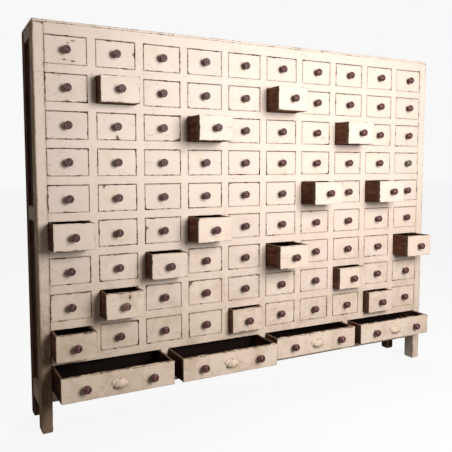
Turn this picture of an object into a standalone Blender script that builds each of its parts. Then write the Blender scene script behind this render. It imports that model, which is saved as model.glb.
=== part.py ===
"""Apothecary cabinet: ninety small drawers over four wide ones, in a shallow case on legs.

Metres, +Z up. The front faces -Y and the floor is Z = 0. Drawers stand open by
the amounts in OPEN_SMALL and OPEN_WIDE, and slide along Y.
"""

import math

import bmesh
import bpy
from mathutils import Matrix, Vector

# ---------------------------------------------------------------- sizes, case
ROWS = 9
COLUMNS = 10
WIDE_COUNT = 4
COLUMN_PITCH = 0.210
ROW_PITCH = 0.150
OPENING_WIDTH = 0.1725
OPENING_HEIGHT = 0.113
WIDE_OPENING_HEIGHT = 0.104
POST_WIDTH = 0.046
FRONT_POST_DEPTH = 0.060
BACK_POST_WIDTH = 0.046
BACK_POST_DEPTH = 0.046
BODY_DEPTH = 0.240
LEG_CLEARANCE = 0.132
BOTTOM_RAIL_HEIGHT = 0.048
TOP_RAIL_HEIGHT = 0.045
TOP_BOARD_THICKNESS = 0.011
FACE_THICKNESS = 0.020
SHELF_THICKNESS = 0.010
GUIDE_HEIGHT = 0.006
BACK_BOARD_THICKNESS = 0.009
BACK_BOARD_INSET = 0.008
WEB_THICKNESS = 0.003
FOOT_CHAMFER = 0.006

# ---------------------------------------------------------------- sizes, side frames
SIDE_TOP_RAIL_HEIGHT = 0.050
SIDE_MIDDLE_RAIL_HEIGHT = 0.060
SIDE_MIDDLE_RAIL_ABOVE_FLOOR = 0.885
SIDE_BOTTOM_RAIL_HEIGHT = 0.078
SIDE_BOTTOM_RAIL_ABOVE_FLOOR = 0.100
SIDE_RAIL_THICKNESS = 0.020
SIDE_RAIL_INSET = 0.0015
PANEL_THICKNESS = 0.006
PANEL_RECESS = 0.013

# ---------------------------------------------------------------- sizes, drawers
DRAWER_LENGTH = 0.206
DRAWER_FRONT_THICKNESS = 0.018
DRAWER_SIDE_THICKNESS = 0.010
DRAWER_BOTTOM_THICKNESS = 0.006
SIDE_CLEARANCE = 0.0015
TOP_CLEARANCE = 0.0022
REST_GAP = 0.0006
JOINT_GAP = 0.0003
OVERLAP = 0.0015

# How far each open drawer stands out, by (row, column) and by number.
OPEN_SMALL = {
    (2, 2): 0.060,
    (2, 6): 0.100,
    (3, 4): 0.114,
    (3, 8): 0.100,
    (5, 7): 0.110,
    (5, 9): 0.106,
    (6, 1): 0.085,
    (6, 4): 0.100,
    (7, 3): 0.074,
    (7, 6): 0.121,
    (7, 10): 0.105,
    (8, 2): 0.085,
    (8, 8): 0.053,
    (9, 1): 0.085,
    (9, 5): 0.040,
    (9, 9): 0.044,
}
OPEN_WIDE = {1: 0.160, 2: 0.160, 3: 0.100, 4: 0.100}

# ---------------------------------------------------------------- sizes, knobs and pulls
KNOB_RADIUS = 0.0175
KNOB_REAR_RADIUS = 0.0150
KNOB_RIM_RADIUS = 0.0158
KNOB_RECESS_RADIUS = 0.0108
KNOB_BUTTON_RADIUS = 0.0070
KNOB_NECK_RADIUS = 0.0080
KNOB_FOOT_RADIUS = 0.0100
KNOB_LENGTH = 0.029
KNOB_HEAD_THICKNESS = 0.014
KNOB_NECK_HEIGHT = 0.007
KNOB_EDGE_ABOVE_REAR = 0.005
KNOB_RIM_SETBACK = 0.0015
KNOB_RECESS_SETBACK = 0.0020
KNOB_SEGMENTS = 14
PLAIN_KNOB_SEGMENTS = 8
WIDE_KNOB_FROM_EDGE = 0.101
CUP_WIDTH = 0.066
CUP_HEIGHT = 0.030
CUP_OUT = 0.022
CUP_WALL = 0.0025
CUP_SEGMENTS = 20
CUP_RINGS = 12
PLATE_WIDTH = 0.078
PLATE_HEIGHT = 0.040
PLATE_THICKNESS = 0.0025

# ---------------------------------------------------------------- sizes that follow
MUNTIN_WIDTH = COLUMN_PITCH - OPENING_WIDTH
RAIL_HEIGHT = ROW_PITCH - OPENING_HEIGHT
INNER_WIDTH = (COLUMNS - 1) * COLUMN_PITCH + OPENING_WIDTH
BODY_WIDTH = INNER_WIDTH + 2 * POST_WIDTH
WIDE_OPENING_WIDTH = (INNER_WIDTH - (WIDE_COUNT - 1) * MUNTIN_WIDTH) / WIDE_COUNT
WIDE_PITCH = WIDE_OPENING_WIDTH + MUNTIN_WIDTH
WIDE_BOTTOM = LEG_CLEARANCE + BOTTOM_RAIL_HEIGHT
WIDE_TOP = WIDE_BOTTOM + WIDE_OPENING_HEIGHT
GRID_BOTTOM = WIDE_TOP + RAIL_HEIGHT
GRID_TOP = GRID_BOTTOM + (ROWS - 1) * ROW_PITCH + OPENING_HEIGHT
POST_HEIGHT = GRID_TOP + TOP_RAIL_HEIGHT
BACK_BOARD_FRONT = BODY_DEPTH - BACK_BOARD_INSET - BACK_BOARD_THICKNESS
WEB_BACK = BACK_BOARD_FRONT - JOINT_GAP
WEB_FRONT = WEB_BACK - WEB_THICKNESS
SHELF_BACK = WEB_FRONT - JOINT_GAP
SHELF_FRONT = FACE_THICKNESS - OVERLAP
GUIDE_WIDTH = MUNTIN_WIDTH - 2 * JOINT_GAP
MOST_OUT = max(OPEN_WIDE.values()) + KNOB_LENGTH
FACE_Y = (MOST_OUT - BODY_DEPTH) / 2

# ---------------------------------------------------------------- colours
CREAM = (0.760, 0.655, 0.545)
SIDE_GREY = (0.330, 0.285, 0.235)
LEG_BROWN = (0.250, 0.180, 0.125)
PALE_LEG = (0.540, 0.475, 0.390)
DARK_WOOD = (0.062, 0.030, 0.020)
KNOB_PLUM = (0.105, 0.036, 0.046)
CUP_CREAM = (0.700, 0.590, 0.500)


# ---------------------------------------------------------------- scene helpers
def clear_scene():
    for obj in list(bpy.data.objects):
        bpy.data.objects.remove(obj)


def material(name, colour, roughness, metallic=0.0):
    made = bpy.data.materials.new(name)
    made.use_nodes = True
    shader = made.node_tree.nodes["Principled BSDF"]
    shader.inputs["Base Color"].default_value = (*colour, 1.0)
    shader.inputs["Roughness"].default_value = roughness
    shader.inputs["Metallic"].default_value = metallic
    made.diffuse_color = (*colour, 1.0)
    return made


def empty(name, location, parent=None):
    made = bpy.data.objects.new(name, None)
    made.location = location
    made.parent = parent
    bpy.context.scene.collection.objects.link(made)
    return made


def place(name, mesh, slot, location, parent, smooth=False):
    """One named sub-part, sharing its mesh with its copies."""
    made = bpy.data.objects.new(name, mesh)
    made.location = location
    made.parent = parent
    bpy.context.scene.collection.objects.link(made)
    if not mesh.materials:
        mesh.materials.append(slot)
    if smooth:
        mesh.polygons.foreach_set("use_smooth", [True] * len(mesh.polygons))
    return made


# ---------------------------------------------------------------- shape helpers
def add_box(shape, low, high):
    """A box from corner to corner, added to a bmesh. Returns its new faces."""
    low, high = Vector(low), Vector(high)
    stretch = Matrix.Diagonal((*(high - low), 1.0))
    move = Matrix.Translation((low + high) / 2)
    made = bmesh.ops.create_cube(shape, size=1.0, matrix=move @ stretch)
    return {face for vert in made["verts"] for face in vert.link_faces}


def boxes(name, corners):
    """A mesh of boxes that don't touch each other."""
    shape = bmesh.new()
    for low, high in corners:
        add_box(shape, low, high)
    return finished(shape, name)


def finished(shape, name):
    mesh = bpy.data.meshes.new(name)
    bmesh.ops.recalc_face_normals(shape, faces=shape.faces)
    shape.to_mesh(mesh)
    shape.free()
    return mesh


def tray(shape, low, high, front, side, bottom):
    """An open-topped box: a thick front, thinner sides and back, and a floor."""
    faces = add_box(shape, low, high)
    top = max(faces, key=lambda face: face.calc_center_median().z)
    bmesh.ops.inset_individual(shape, faces=[top], thickness=side)
    for vert in top.verts:
        if vert.co.y < (low[1] + high[1]) / 2:
            vert.co.y = low[1] + front
    sunk = bmesh.ops.extrude_discrete_faces(shape, faces=[top])["faces"][0]
    for vert in sunk.verts:
        vert.co.z = low[2] + bottom


def turned(shape, profile, segments, centre):
    """A solid turned about a line along -Y through centre, from (radius, length) steps."""
    rings = []
    for radius, length in profile:
        ring = []
        for step in range(segments):
            angle = 2 * math.pi * step / segments
            across = Vector((math.cos(angle), 0.0, math.sin(angle))) * radius
            ring.append(shape.verts.new(Vector(centre) + across + Vector((0.0, -length, 0.0))))
        rings.append(ring)
    for lower, upper in zip(rings, rings[1:]):
        for step in range(segments):
            after = (step + 1) % segments
            shape.faces.new((lower[step], lower[after], upper[after], upper[step]))
    shape.faces.new(rings[0])
    shape.faces.new(rings[-1])


def combined(first, second, operation):
    """The Boolean of two meshes, baked into a new mesh."""
    target = bpy.data.objects.new("target", first)
    tool = bpy.data.objects.new("tool", second)
    for obj in (target, tool):
        bpy.context.scene.collection.objects.link(obj)
    step = target.modifiers.new("combine", "BOOLEAN")
    step.operation = operation
    step.solver = "EXACT"
    step.object = tool
    bpy.context.view_layer.update()
    graph = bpy.context.evaluated_depsgraph_get()
    mesh = bpy.data.meshes.new_from_object(target.evaluated_get(graph))
    mesh.name = first.name
    for obj in (target, tool):
        bpy.data.objects.remove(obj)
    return mesh


# ---------------------------------------------------------------- where things are
def column_x(column):
    return (column - (COLUMNS + 1) / 2) * COLUMN_PITCH


def row_z(row):
    """Height of the bottom of a row's openings. Row 1 is the top one."""
    return GRID_BOTTOM + (ROWS - row) * ROW_PITCH


def wide_x(number):
    return (number - (WIDE_COUNT + 1) / 2) * WIDE_PITCH


def closed_small():
    cells = [(row, column) for row in range(1, ROWS + 1) for column in range(1, COLUMNS + 1)]
    return [cell for cell in cells if cell not in OPEN_SMALL]


# ---------------------------------------------------------------- the case
def post_mesh(name, width, depth, height):
    """A post whose foot has its lower edges taken off."""
    shape = bmesh.new()
    faces = add_box(shape, (-width / 2, 0.0, 0.0), (width / 2, depth, height))
    foot = min(faces, key=lambda face: face.calc_center_median().z)
    edges = list(foot.edges)
    bmesh.ops.bevel(shape, geom=edges, offset=FOOT_CHAMFER, segments=1, affect="EDGES")
    return finished(shape, name)


def add_posts(cabinet, slots):
    front = post_mesh("front_post", POST_WIDTH, FRONT_POST_DEPTH, POST_HEIGHT)
    front_right = front.copy()
    back = post_mesh("back_post", BACK_POST_WIDTH, BACK_POST_DEPTH, POST_HEIGHT)
    front_x = (BODY_WIDTH - POST_WIDTH) / 2
    back_x = (BODY_WIDTH - BACK_POST_WIDTH) / 2
    back_y = BODY_DEPTH - BACK_POST_DEPTH
    place("post_front_left", front, slots["leg"], (-front_x, 0.0, 0.0), cabinet)
    place("post_front_right", front_right, slots["pale_leg"], (front_x, 0.0, 0.0), cabinet)
    place("post_back_left", back, slots["dark"], (-back_x, back_y, 0.0), cabinet)
    place("post_back_right", back, slots["dark"], (back_x, back_y, 0.0), cabinet)


def add_top_board(cabinet, slots):
    half = BODY_WIDTH / 2
    low = (-half, 0.0, JOINT_GAP)
    high = (half, BODY_DEPTH, TOP_BOARD_THICKNESS)
    mesh = boxes("top_board", [(low, high)])
    place("top_board", mesh, slots["cream"], (0.0, 0.0, POST_HEIGHT), cabinet)


def add_top_rail(cabinet, slots):
    half = INNER_WIDTH / 2 - JOINT_GAP
    low = (-half, 0.0, JOINT_GAP)
    high = (half, FACE_THICKNESS, TOP_RAIL_HEIGHT)
    mesh = boxes("top_rail", [(low, high)])
    place("top_rail", mesh, slots["cream"], (0.0, 0.0, GRID_TOP), cabinet)


def add_bottom_rail(cabinet, slots):
    """The rail under the wide drawers with the board they run on and its guides."""
    half = INNER_WIDTH / 2 - JOINT_GAP
    top = BOTTOM_RAIL_HEIGHT
    rail = boxes("bottom_rail", [((-half, 0.0, 0.0), (half, FACE_THICKNESS, top))])
    board_low = (-half, SHELF_FRONT, top - SHELF_THICKNESS)
    board = boxes("bottom_board", [(board_low, (half, SHELF_BACK, top))])
    guides = boxes("bottom_guides", guide_boxes(wide_gaps(), FACE_THICKNESS + JOINT_GAP, top))
    mesh = combined(combined(rail, board, "UNION"), guides, "UNION")
    place("bottom_rail", mesh, slots["cream"], (0.0, 0.0, LEG_CLEARANCE), cabinet)


def wide_gaps():
    return [(wide_x(n) + wide_x(n + 1)) / 2 for n in range(1, WIDE_COUNT)]


def small_gaps():
    return [(column_x(n) + column_x(n + 1)) / 2 for n in range(1, COLUMNS)]


def guide_boxes(gaps, front, top):
    """Strips that keep the drawers straight, on a board whose top is at this height."""
    found = []
    for x in gaps:
        low = (x - GUIDE_WIDTH / 2, front, top - OVERLAP)
        high = (x + GUIDE_WIDTH / 2, SHELF_BACK - OVERLAP, top + GUIDE_HEIGHT)
        found.append((low, high))
    return found


def window_boxes():
    """The cut-outs in the face frame: ninety small openings and four wide ones."""
    found = []
    for row in range(1, ROWS + 1):
        for column in range(1, COLUMNS + 1):
            x, z = column_x(column), row_z(row)
            low = (x - OPENING_WIDTH / 2, -OVERLAP, z)
            high = (x + OPENING_WIDTH / 2, FACE_THICKNESS + OVERLAP, z + OPENING_HEIGHT)
            if column == 1:
                low = (low[0] - OVERLAP, *low[1:])
            if column == COLUMNS:
                high = (high[0] + OVERLAP, *high[1:])
            if row == 1:
                high = (*high[:2], high[2] + OVERLAP)
            found.append((low, high))
    return found


def divider_boxes():
    """The three dividers between the wide drawers, run up into the rail above."""
    found = []
    for x in wide_gaps():
        low = (x - MUNTIN_WIDTH / 2, 0.0, WIDE_BOTTOM + JOINT_GAP)
        high = (x + MUNTIN_WIDTH / 2, FACE_THICKNESS, WIDE_TOP + RAIL_HEIGHT / 2)
        found.append((low, high))
    return found


def shelf_boxes():
    half = INNER_WIDTH / 2 - JOINT_GAP
    found = []
    for row in range(1, ROWS + 1):
        low = (-half, SHELF_FRONT, row_z(row) - SHELF_THICKNESS)
        found.append((low, (half, SHELF_BACK, row_z(row))))
    return found


def add_face_frame(cabinet, slots):
    """Rails, muntins and dividers, with the shelves and guides behind them."""
    half = INNER_WIDTH / 2 - JOINT_GAP
    plate = boxes("face_frame", [((-half, 0.0, WIDE_TOP), (half, FACE_THICKNESS, GRID_TOP))])
    mesh = combined(plate, boxes("windows", window_boxes()), "DIFFERENCE")
    mesh = combined(mesh, boxes("dividers", divider_boxes()), "UNION")
    mesh = combined(mesh, boxes("shelves", shelf_boxes()), "UNION")
    guides = []
    for row in range(1, ROWS + 1):
        guides += guide_boxes(small_gaps(), SHELF_FRONT, row_z(row))
    mesh = combined(mesh, boxes("guides", guides), "UNION")
    place("face_frame", mesh, slots["cream"], (0.0, 0.0, 0.0), cabinet)


def add_back_board(cabinet, slots):
    half = BODY_WIDTH / 2 - BACK_POST_WIDTH - JOINT_GAP
    low = (-half, BACK_BOARD_FRONT, LEG_CLEARANCE)
    high = (half, BACK_BOARD_FRONT + BACK_BOARD_THICKNESS, POST_HEIGHT)
    mesh = boxes("back_board", [(low, high)])
    place("back_board", mesh, slots["dark"], (0.0, 0.0, 0.0), cabinet)


def side_mesh(sign):
    """Three rails with the recessed panel behind them. The outer face looks along sign."""
    front = FRONT_POST_DEPTH + JOINT_GAP
    back = BODY_DEPTH - BACK_POST_DEPTH - JOINT_GAP
    outer = BODY_WIDTH / 2 - SIDE_RAIL_INSET
    inner = outer - SIDE_RAIL_THICKNESS
    spans = [
        (SIDE_BOTTOM_RAIL_ABOVE_FLOOR, SIDE_BOTTOM_RAIL_HEIGHT),
        (SIDE_MIDDLE_RAIL_ABOVE_FLOOR, SIDE_MIDDLE_RAIL_HEIGHT),
        (POST_HEIGHT - SIDE_TOP_RAIL_HEIGHT, SIDE_TOP_RAIL_HEIGHT),
    ]
    rails = []
    for bottom, height in spans:
        x = sorted((sign * inner, sign * outer))
        rails.append(((x[0], front, bottom), (x[1], back, bottom + height)))
    x = sorted((sign * (outer - PANEL_RECESS), sign * (outer - PANEL_RECESS - PANEL_THICKNESS)))
    low = (x[0], front, SIDE_BOTTOM_RAIL_ABOVE_FLOOR + SIDE_BOTTOM_RAIL_HEIGHT / 2)
    high = (x[1], back, POST_HEIGHT - SIDE_TOP_RAIL_HEIGHT / 2)
    panel = boxes("side_panel", [(low, high)])
    return combined(panel, boxes("side_rails", rails), "UNION")


def add_sides(cabinet, slots):
    for name, sign in (("side_frame_left", -1), ("side_frame_right", 1)):
        place(name, side_mesh(sign), slots["side"], (0.0, 0.0, 0.0), cabinet)


# ---------------------------------------------------------------- drawers
def drawer_size(opening_width, opening_height):
    width = opening_width - 2 * SIDE_CLEARANCE
    height = opening_height - TOP_CLEARANCE - REST_GAP
    return width, height


def add_tray(shape, centre_x, bottom_z, opening_width, opening_height, length):
    width, height = drawer_size(opening_width, opening_height)
    bottom = bottom_z + REST_GAP
    low = (centre_x - width / 2, 0.0, bottom)
    high = (centre_x + width / 2, length, bottom + height)
    tray(
        shape,
        low,
        high,
        DRAWER_FRONT_THICKNESS,
        DRAWER_SIDE_THICKNESS,
        DRAWER_BOTTOM_THICKNESS,
    )


def drawer_mesh(name, opening_width, opening_height, slots):
    """A drawer whose origin is on its slide line, at the middle of its front face."""
    shape = bmesh.new()
    centre = -opening_height / 2
    add_tray(shape, 0.0, centre, opening_width, opening_height, DRAWER_LENGTH)
    mesh = finished(shape, name)
    mesh.materials.append(slots["cream"])
    mesh.materials.append(slots["dark"])
    for face in mesh.polygons:
        face.material_index = 0 if face.center.y < DRAWER_FRONT_THICKNESS / 2 else 1
    return mesh


def knob_profile():
    """From the shank's seat to the front face, which has a rim and a middle button."""
    rear = KNOB_LENGTH - KNOB_HEAD_THICKNESS
    return [
        (KNOB_FOOT_RADIUS, JOINT_GAP),
        (KNOB_NECK_RADIUS, KNOB_NECK_HEIGHT),
        (KNOB_REAR_RADIUS, rear),
        (KNOB_RADIUS, rear + KNOB_EDGE_ABOVE_REAR),
        (KNOB_RIM_RADIUS, KNOB_LENGTH - KNOB_RIM_SETBACK),
        (KNOB_RECESS_RADIUS, KNOB_LENGTH - KNOB_RECESS_SETBACK),
        (KNOB_BUTTON_RADIUS, KNOB_LENGTH),
    ]


def plain_knob_profile():
    """The same knob with fewer steps, its shank run into the drawer front."""
    rear = KNOB_LENGTH - KNOB_HEAD_THICKNESS
    return [
        (KNOB_NECK_RADIUS, -OVERLAP),
        (KNOB_NECK_RADIUS, KNOB_NECK_HEIGHT),
        (KNOB_RADIUS, rear + KNOB_EDGE_ABOVE_REAR),
        (KNOB_RECESS_RADIUS, KNOB_LENGTH),
    ]


def knob_mesh():
    shape = bmesh.new()
    turned(shape, knob_profile(), KNOB_SEGMENTS, (0.0, 0.0, 0.0))
    return finished(shape, "knob")


def add_small_drawers(cabinet, slots):
    mesh = drawer_mesh("small_drawer", OPENING_WIDTH, OPENING_HEIGHT, slots)
    knob = knob_mesh()
    for (row, column), out in OPEN_SMALL.items():
        tag = f"r{row}_c{column}"
        middle = row_z(row) + OPENING_HEIGHT / 2
        where = (column_x(column), -out, middle)
        drawer = place(f"drawer_{tag}", mesh, slots["cream"], where, cabinet)
        place(f"knob_{tag}", knob, slots["knob"], (0.0, 0.0, 0.0), drawer, smooth=True)


def add_wide_drawers(cabinet, slots):
    mesh = drawer_mesh("wide_drawer", WIDE_OPENING_WIDTH, WIDE_OPENING_HEIGHT, slots)
    knob = knob_mesh()
    cup = cup_pull_mesh()
    across = WIDE_OPENING_WIDTH / 2 - WIDE_KNOB_FROM_EDGE
    for number, out in OPEN_WIDE.items():
        where = (wide_x(number), -out, WIDE_BOTTOM + WIDE_OPENING_HEIGHT / 2)
        drawer = place(f"wide_drawer_{number}", mesh, slots["cream"], where, cabinet)
        for side, x in (("left", -across), ("right", across)):
            name = f"wide_knob_{number}_{side}"
            place(name, knob, slots["knob"], (x, 0.0, 0.0), drawer, smooth=True)
        place(f"cup_pull_{number}", cup, slots["cup"], (0.0, 0.0, 0.0), drawer, smooth=True)


def ellipsoid(name, radii, location):
    shape = bmesh.new()
    fit = Matrix.Translation(location) @ Matrix.Diagonal((*radii, 1.0))
    bmesh.ops.create_uvsphere(
        shape, u_segments=CUP_SEGMENTS, v_segments=CUP_RINGS, radius=1.0, matrix=fit
    )
    return finished(shape, name)


def cup_pull_mesh():
    """A hood open below, on an oval plate. Its back lies on the drawer front."""
    rim = -CUP_HEIGHT / 2
    outer = ellipsoid("cup_pull", (CUP_WIDTH / 2, CUP_OUT, CUP_HEIGHT), (0.0, 0.0, rim))
    inner_radii = (CUP_WIDTH / 2 - CUP_WALL, CUP_OUT - CUP_WALL, CUP_HEIGHT - CUP_WALL)
    inner = ellipsoid("cup_inside", inner_radii, (0.0, 0.0, rim))
    reach = CUP_WIDTH
    behind = boxes("behind", [((-reach, -PLATE_THICKNESS / 2, -reach), (reach, reach, reach))])
    below = boxes("below", [((-reach, -reach, -reach), (reach, reach, rim))])
    hood = combined(outer, behind, "DIFFERENCE")
    hood = combined(hood, below, "DIFFERENCE")
    plate = oval_plate()
    return combined(plate, combined(hood, inner, "DIFFERENCE"), "UNION")


def oval_plate():
    shape = bmesh.new()
    profile = [(1.0, JOINT_GAP), (1.0, PLATE_THICKNESS)]
    turned(shape, profile, CUP_SEGMENTS, (0.0, 0.0, 0.0))
    fit = Matrix.Diagonal((PLATE_WIDTH / 2, 1.0, PLATE_HEIGHT / 2, 1.0))
    bmesh.ops.transform(shape, matrix=fit, verts=shape.verts)
    return finished(shape, "oval_plate")


def add_closed_drawers(cabinet, slots):
    """The shut drawers with their knobs, held by one web that runs behind them all."""
    half = INNER_WIDTH / 2 - JOINT_GAP
    low = (-half, WEB_FRONT, GRID_BOTTOM)
    web = boxes("drawers_closed", [(low, (half, WEB_BACK, GRID_TOP - JOINT_GAP))])
    trays = bmesh.new()
    knobs = bmesh.new()
    for row, column in closed_small():
        x, z = column_x(column), row_z(row)
        add_tray(trays, x, z, OPENING_WIDTH, OPENING_HEIGHT, WEB_FRONT + OVERLAP)
        centre = (x, 0.0, z + OPENING_HEIGHT / 2)
        turned(knobs, plain_knob_profile(), PLAIN_KNOB_SEGMENTS, centre)
    mesh = combined(web, finished(trays, "trays"), "UNION")
    mesh = combined(mesh, finished(knobs, "knobs"), "UNION")
    place("drawers_closed", mesh, slots["cream"], (0.0, 0.0, 0.0), cabinet)


# ---------------------------------------------------------------- the whole cabinet
def main():
    clear_scene()
    slots = {
        "cream": material("cream_paint", CREAM, 0.62),
        "side": material("side_paint", SIDE_GREY, 0.70),
        "leg": material("worn_leg", LEG_BROWN, 0.75),
        "pale_leg": material("pale_leg", PALE_LEG, 0.70),
        "dark": material("dark_wood", DARK_WOOD, 0.78),
        "knob": material("knob_wood", KNOB_PLUM, 0.42),
        "cup": material("cup_paint", CUP_CREAM, 0.50),
    }
    cabinet = empty("cabinet", (0.0, FACE_Y, 0.0))
    add_posts(cabinet, slots)
    add_top_board(cabinet, slots)
    add_top_rail(cabinet, slots)
    add_bottom_rail(cabinet, slots)
    add_face_frame(cabinet, slots)
    add_back_board(cabinet, slots)
    add_sides(cabinet, slots)
    add_closed_drawers(cabinet, slots)
    add_small_drawers(cabinet, slots)
    add_wide_drawers(cabinet, slots)


main()
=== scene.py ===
"""Apothecary cabinet in worn cream paint, with turned knobs and some drawers standing open.

Laid out as an add-on and run as a script. Every piece is built in place, in metres,
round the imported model: X across the cabinet, -Y out of its front, Z up.
"""

import functools
import math

import bpy
import numpy as np
from bpy.props import FloatProperty, FloatVectorProperty, IntProperty, PointerProperty
from mathutils import Matrix, Vector


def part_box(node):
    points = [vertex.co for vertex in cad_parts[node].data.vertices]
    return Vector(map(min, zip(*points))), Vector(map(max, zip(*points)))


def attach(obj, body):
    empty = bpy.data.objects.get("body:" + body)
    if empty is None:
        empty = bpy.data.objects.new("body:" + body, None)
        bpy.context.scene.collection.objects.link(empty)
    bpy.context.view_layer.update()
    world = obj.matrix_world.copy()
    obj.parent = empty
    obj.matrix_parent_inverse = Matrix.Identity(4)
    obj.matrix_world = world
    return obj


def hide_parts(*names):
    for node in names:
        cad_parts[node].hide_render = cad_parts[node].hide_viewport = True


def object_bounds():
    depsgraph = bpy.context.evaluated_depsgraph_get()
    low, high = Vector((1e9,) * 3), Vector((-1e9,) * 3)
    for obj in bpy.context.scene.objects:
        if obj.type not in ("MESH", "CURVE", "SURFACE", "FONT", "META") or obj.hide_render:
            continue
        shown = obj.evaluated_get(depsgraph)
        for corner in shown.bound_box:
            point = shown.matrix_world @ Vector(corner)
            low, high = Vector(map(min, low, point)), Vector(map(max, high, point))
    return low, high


bl_info = {
    "name": "Apothecary Cabinet",
    "version": (1, 0, 0),
    "blender": (4, 5, 0),
    "location": "View3D > Sidebar > Cabinet",
    "description": "Builds a painted apothecary cabinet piece by piece round its solid model",
    "category": "Object",
}

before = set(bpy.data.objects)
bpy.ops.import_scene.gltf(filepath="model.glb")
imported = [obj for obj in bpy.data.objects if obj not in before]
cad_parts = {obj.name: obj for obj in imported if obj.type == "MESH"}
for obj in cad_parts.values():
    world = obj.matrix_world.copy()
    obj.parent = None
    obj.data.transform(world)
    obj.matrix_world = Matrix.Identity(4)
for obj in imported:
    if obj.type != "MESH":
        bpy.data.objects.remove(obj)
CAD_LOW, CAD_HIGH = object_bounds()

# ---------------------------------------------------------------- places, read from the solid model
ROWS = 9
COLUMNS = 10
WIDE_COUNT = 4
OPEN = {}
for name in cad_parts:
    if name.startswith("drawer_r"):
        row, column = name[len("drawer_r"):].split("_c")
        OPEN[int(row), int(column)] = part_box(name)
WIDE = {number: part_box(f"wide_drawer_{number}") for number in range(1, WIDE_COUNT + 1)}


def middle(box):
    return (box[0] + box[1]) / 2


LEFT_DRAWER = middle(OPEN[6, 1])
RIGHT_DRAWER = middle(OPEN[7, 10])
UPPER_DRAWER = middle(OPEN[2, 2])
LOWER_DRAWER = middle(OPEN[9, 1])
COLUMN_PITCH = (RIGHT_DRAWER.x - LEFT_DRAWER.x) / (COLUMNS - 1)
ROW_PITCH = (UPPER_DRAWER.z - LOWER_DRAWER.z) / (ROWS - 2)
FRONT_SIZE = OPEN[2, 2][1] - OPEN[2, 2][0]
FACE_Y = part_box("face_frame")[0].y
FACE_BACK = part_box("top_rail")[1].y
WEB_THICKNESS = 0.003
WEB_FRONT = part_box("drawers_closed")[1].y - WEB_THICKNESS
SIDE_FIT = 0.0015
TOP_FIT = 0.0022
REST_FIT = 0.0006
FRONT_THICKNESS = 0.018
SET_BACK = 0.0012
BOX_SIDE = 0.010
BOX_BOTTOM = 0.006
SHELF_THICKNESS = 0.010
GUIDE_HEIGHT = 0.006
SIDE_RAIL_THICKNESS = 0.020
SIDE_TOP_RAIL = 0.050
SIDE_BOTTOM_RAIL = 0.078
SIDE_MIDDLE_RAIL = (0.885, 0.945)
PANEL_RECESS = 0.013
PANEL_THICKNESS = 0.006
PLATE_THICKNESS = 0.0025
HAIR = 0.0003


def column_x(column):
    return LEFT_DRAWER.x + (column - 1) * COLUMN_PITCH


def row_z(row):
    """Height of the middle of a row's drawer fronts. Row 1 is the top one."""
    return LOWER_DRAWER.z + (ROWS - row) * ROW_PITCH


def cells():
    return [(row, column) for row in range(1, ROWS + 1) for column in range(1, COLUMNS + 1)]


def window(centre_x, centre_z, width, height):
    """The opening round a drawer front, as (left, right, bottom, top)."""
    return (
        centre_x - width / 2 - SIDE_FIT,
        centre_x + width / 2 + SIDE_FIT,
        centre_z - height / 2 - REST_FIT,
        centre_z + height / 2 + TOP_FIT,
    )


# ---------------------------------------------------------------- settings
def size_property(label, help_text, value):
    return FloatProperty(name=label, description=help_text, default=value, min=0.0, unit="LENGTH")


def share_property(label, help_text, value):
    return FloatProperty(name=label, description=help_text, default=value, min=0.0, max=4.0, subtype="FACTOR")


def colour_property(label, help_text, value):
    return FloatVectorProperty(
        name=label, description=help_text, default=value, size=3, min=0.0, max=1.0, subtype="COLOR"
    )


def place_property(label, help_text, value):
    return FloatVectorProperty(
        name=label, description=help_text, default=value, size=3, subtype="TRANSLATION", unit="LENGTH"
    )


def angle_property(label, help_text, degrees):
    return FloatProperty(name=label, description=help_text, default=math.radians(degrees), subtype="ANGLE")


def power_property(label, help_text, watts):
    return FloatProperty(name=label, description=help_text, default=watts, min=0.0, unit="POWER")


class CabinetSizes(bpy.types.PropertyGroup):
    ease: size_property("Eased edge", "How far the sawn edges are rounded over", 0.0013)
    band: size_property("Worn band", "How far in from an edge the paint may be knocked off", 0.005)
    dent: size_property("Dents", "Deepest small dent along a painted edge", 0.0004)
    chip: size_property("Chips", "Deepest piece knocked out of a painted edge", 0.0018)
    cup_wall: size_property("Cup wall", "Thickness of the cup pull's shell", 0.0018)
    screw: size_property("Screw head", "Radius of a cup pull's screw head", 0.0021)
    knob_segments: IntProperty(name="Knob segments", description="Steps round a turned knob", default=40, min=12)


class CabinetFinish(bpy.types.PropertyGroup):
    cream: colour_property("Cream paint", "The paint on the front", (0.795, 0.655, 0.568))
    # The dirt colour also serves as the colour of the painted shade along the edges and low down on the paint.
    dirt: colour_property("Dirt", "Old dirt and drips on the paint", (0.400, 0.285, 0.170))
    bare_dark: colour_property("Bare wood, dark", "Dark grain where the paint is gone", (0.050, 0.028, 0.018))
    bare_light: colour_property("Bare wood, light", "Light grain where the paint is gone", (0.165, 0.095, 0.055))
    side_grey: colour_property("Side paint", "The greyer paint on the sides", (0.360, 0.320, 0.275))
    panel: colour_property("Side panel", "The dark recessed panels", (0.075, 0.055, 0.045))
    box_dark: colour_property("Drawer wood, dark", "Dark grain of the drawer sides", (0.060, 0.024, 0.016))
    box_light: colour_property("Drawer wood, light", "Light grain of the drawer sides", (0.240, 0.105, 0.062))
    # Near black: grime together with painted shade inside the drawers.
    inside: colour_property("Drawer inside", "The grimy inside of the drawers", (0.010, 0.006, 0.005))
    plum: colour_property("Knob", "The turned knobs", (0.118, 0.036, 0.037))
    leg_dark: colour_property("Leg, dark", "Dark grain of the worn legs", (0.170, 0.105, 0.062))
    leg_light: colour_property("Leg, light", "Light grain of the worn legs", (0.380, 0.265, 0.170))
    cup: colour_property("Cup pull", "The paint on the cup pulls", (0.820, 0.680, 0.590))
    wear: share_property("Edge wear", "How much paint has gone along the edges", 1.0)


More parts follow.
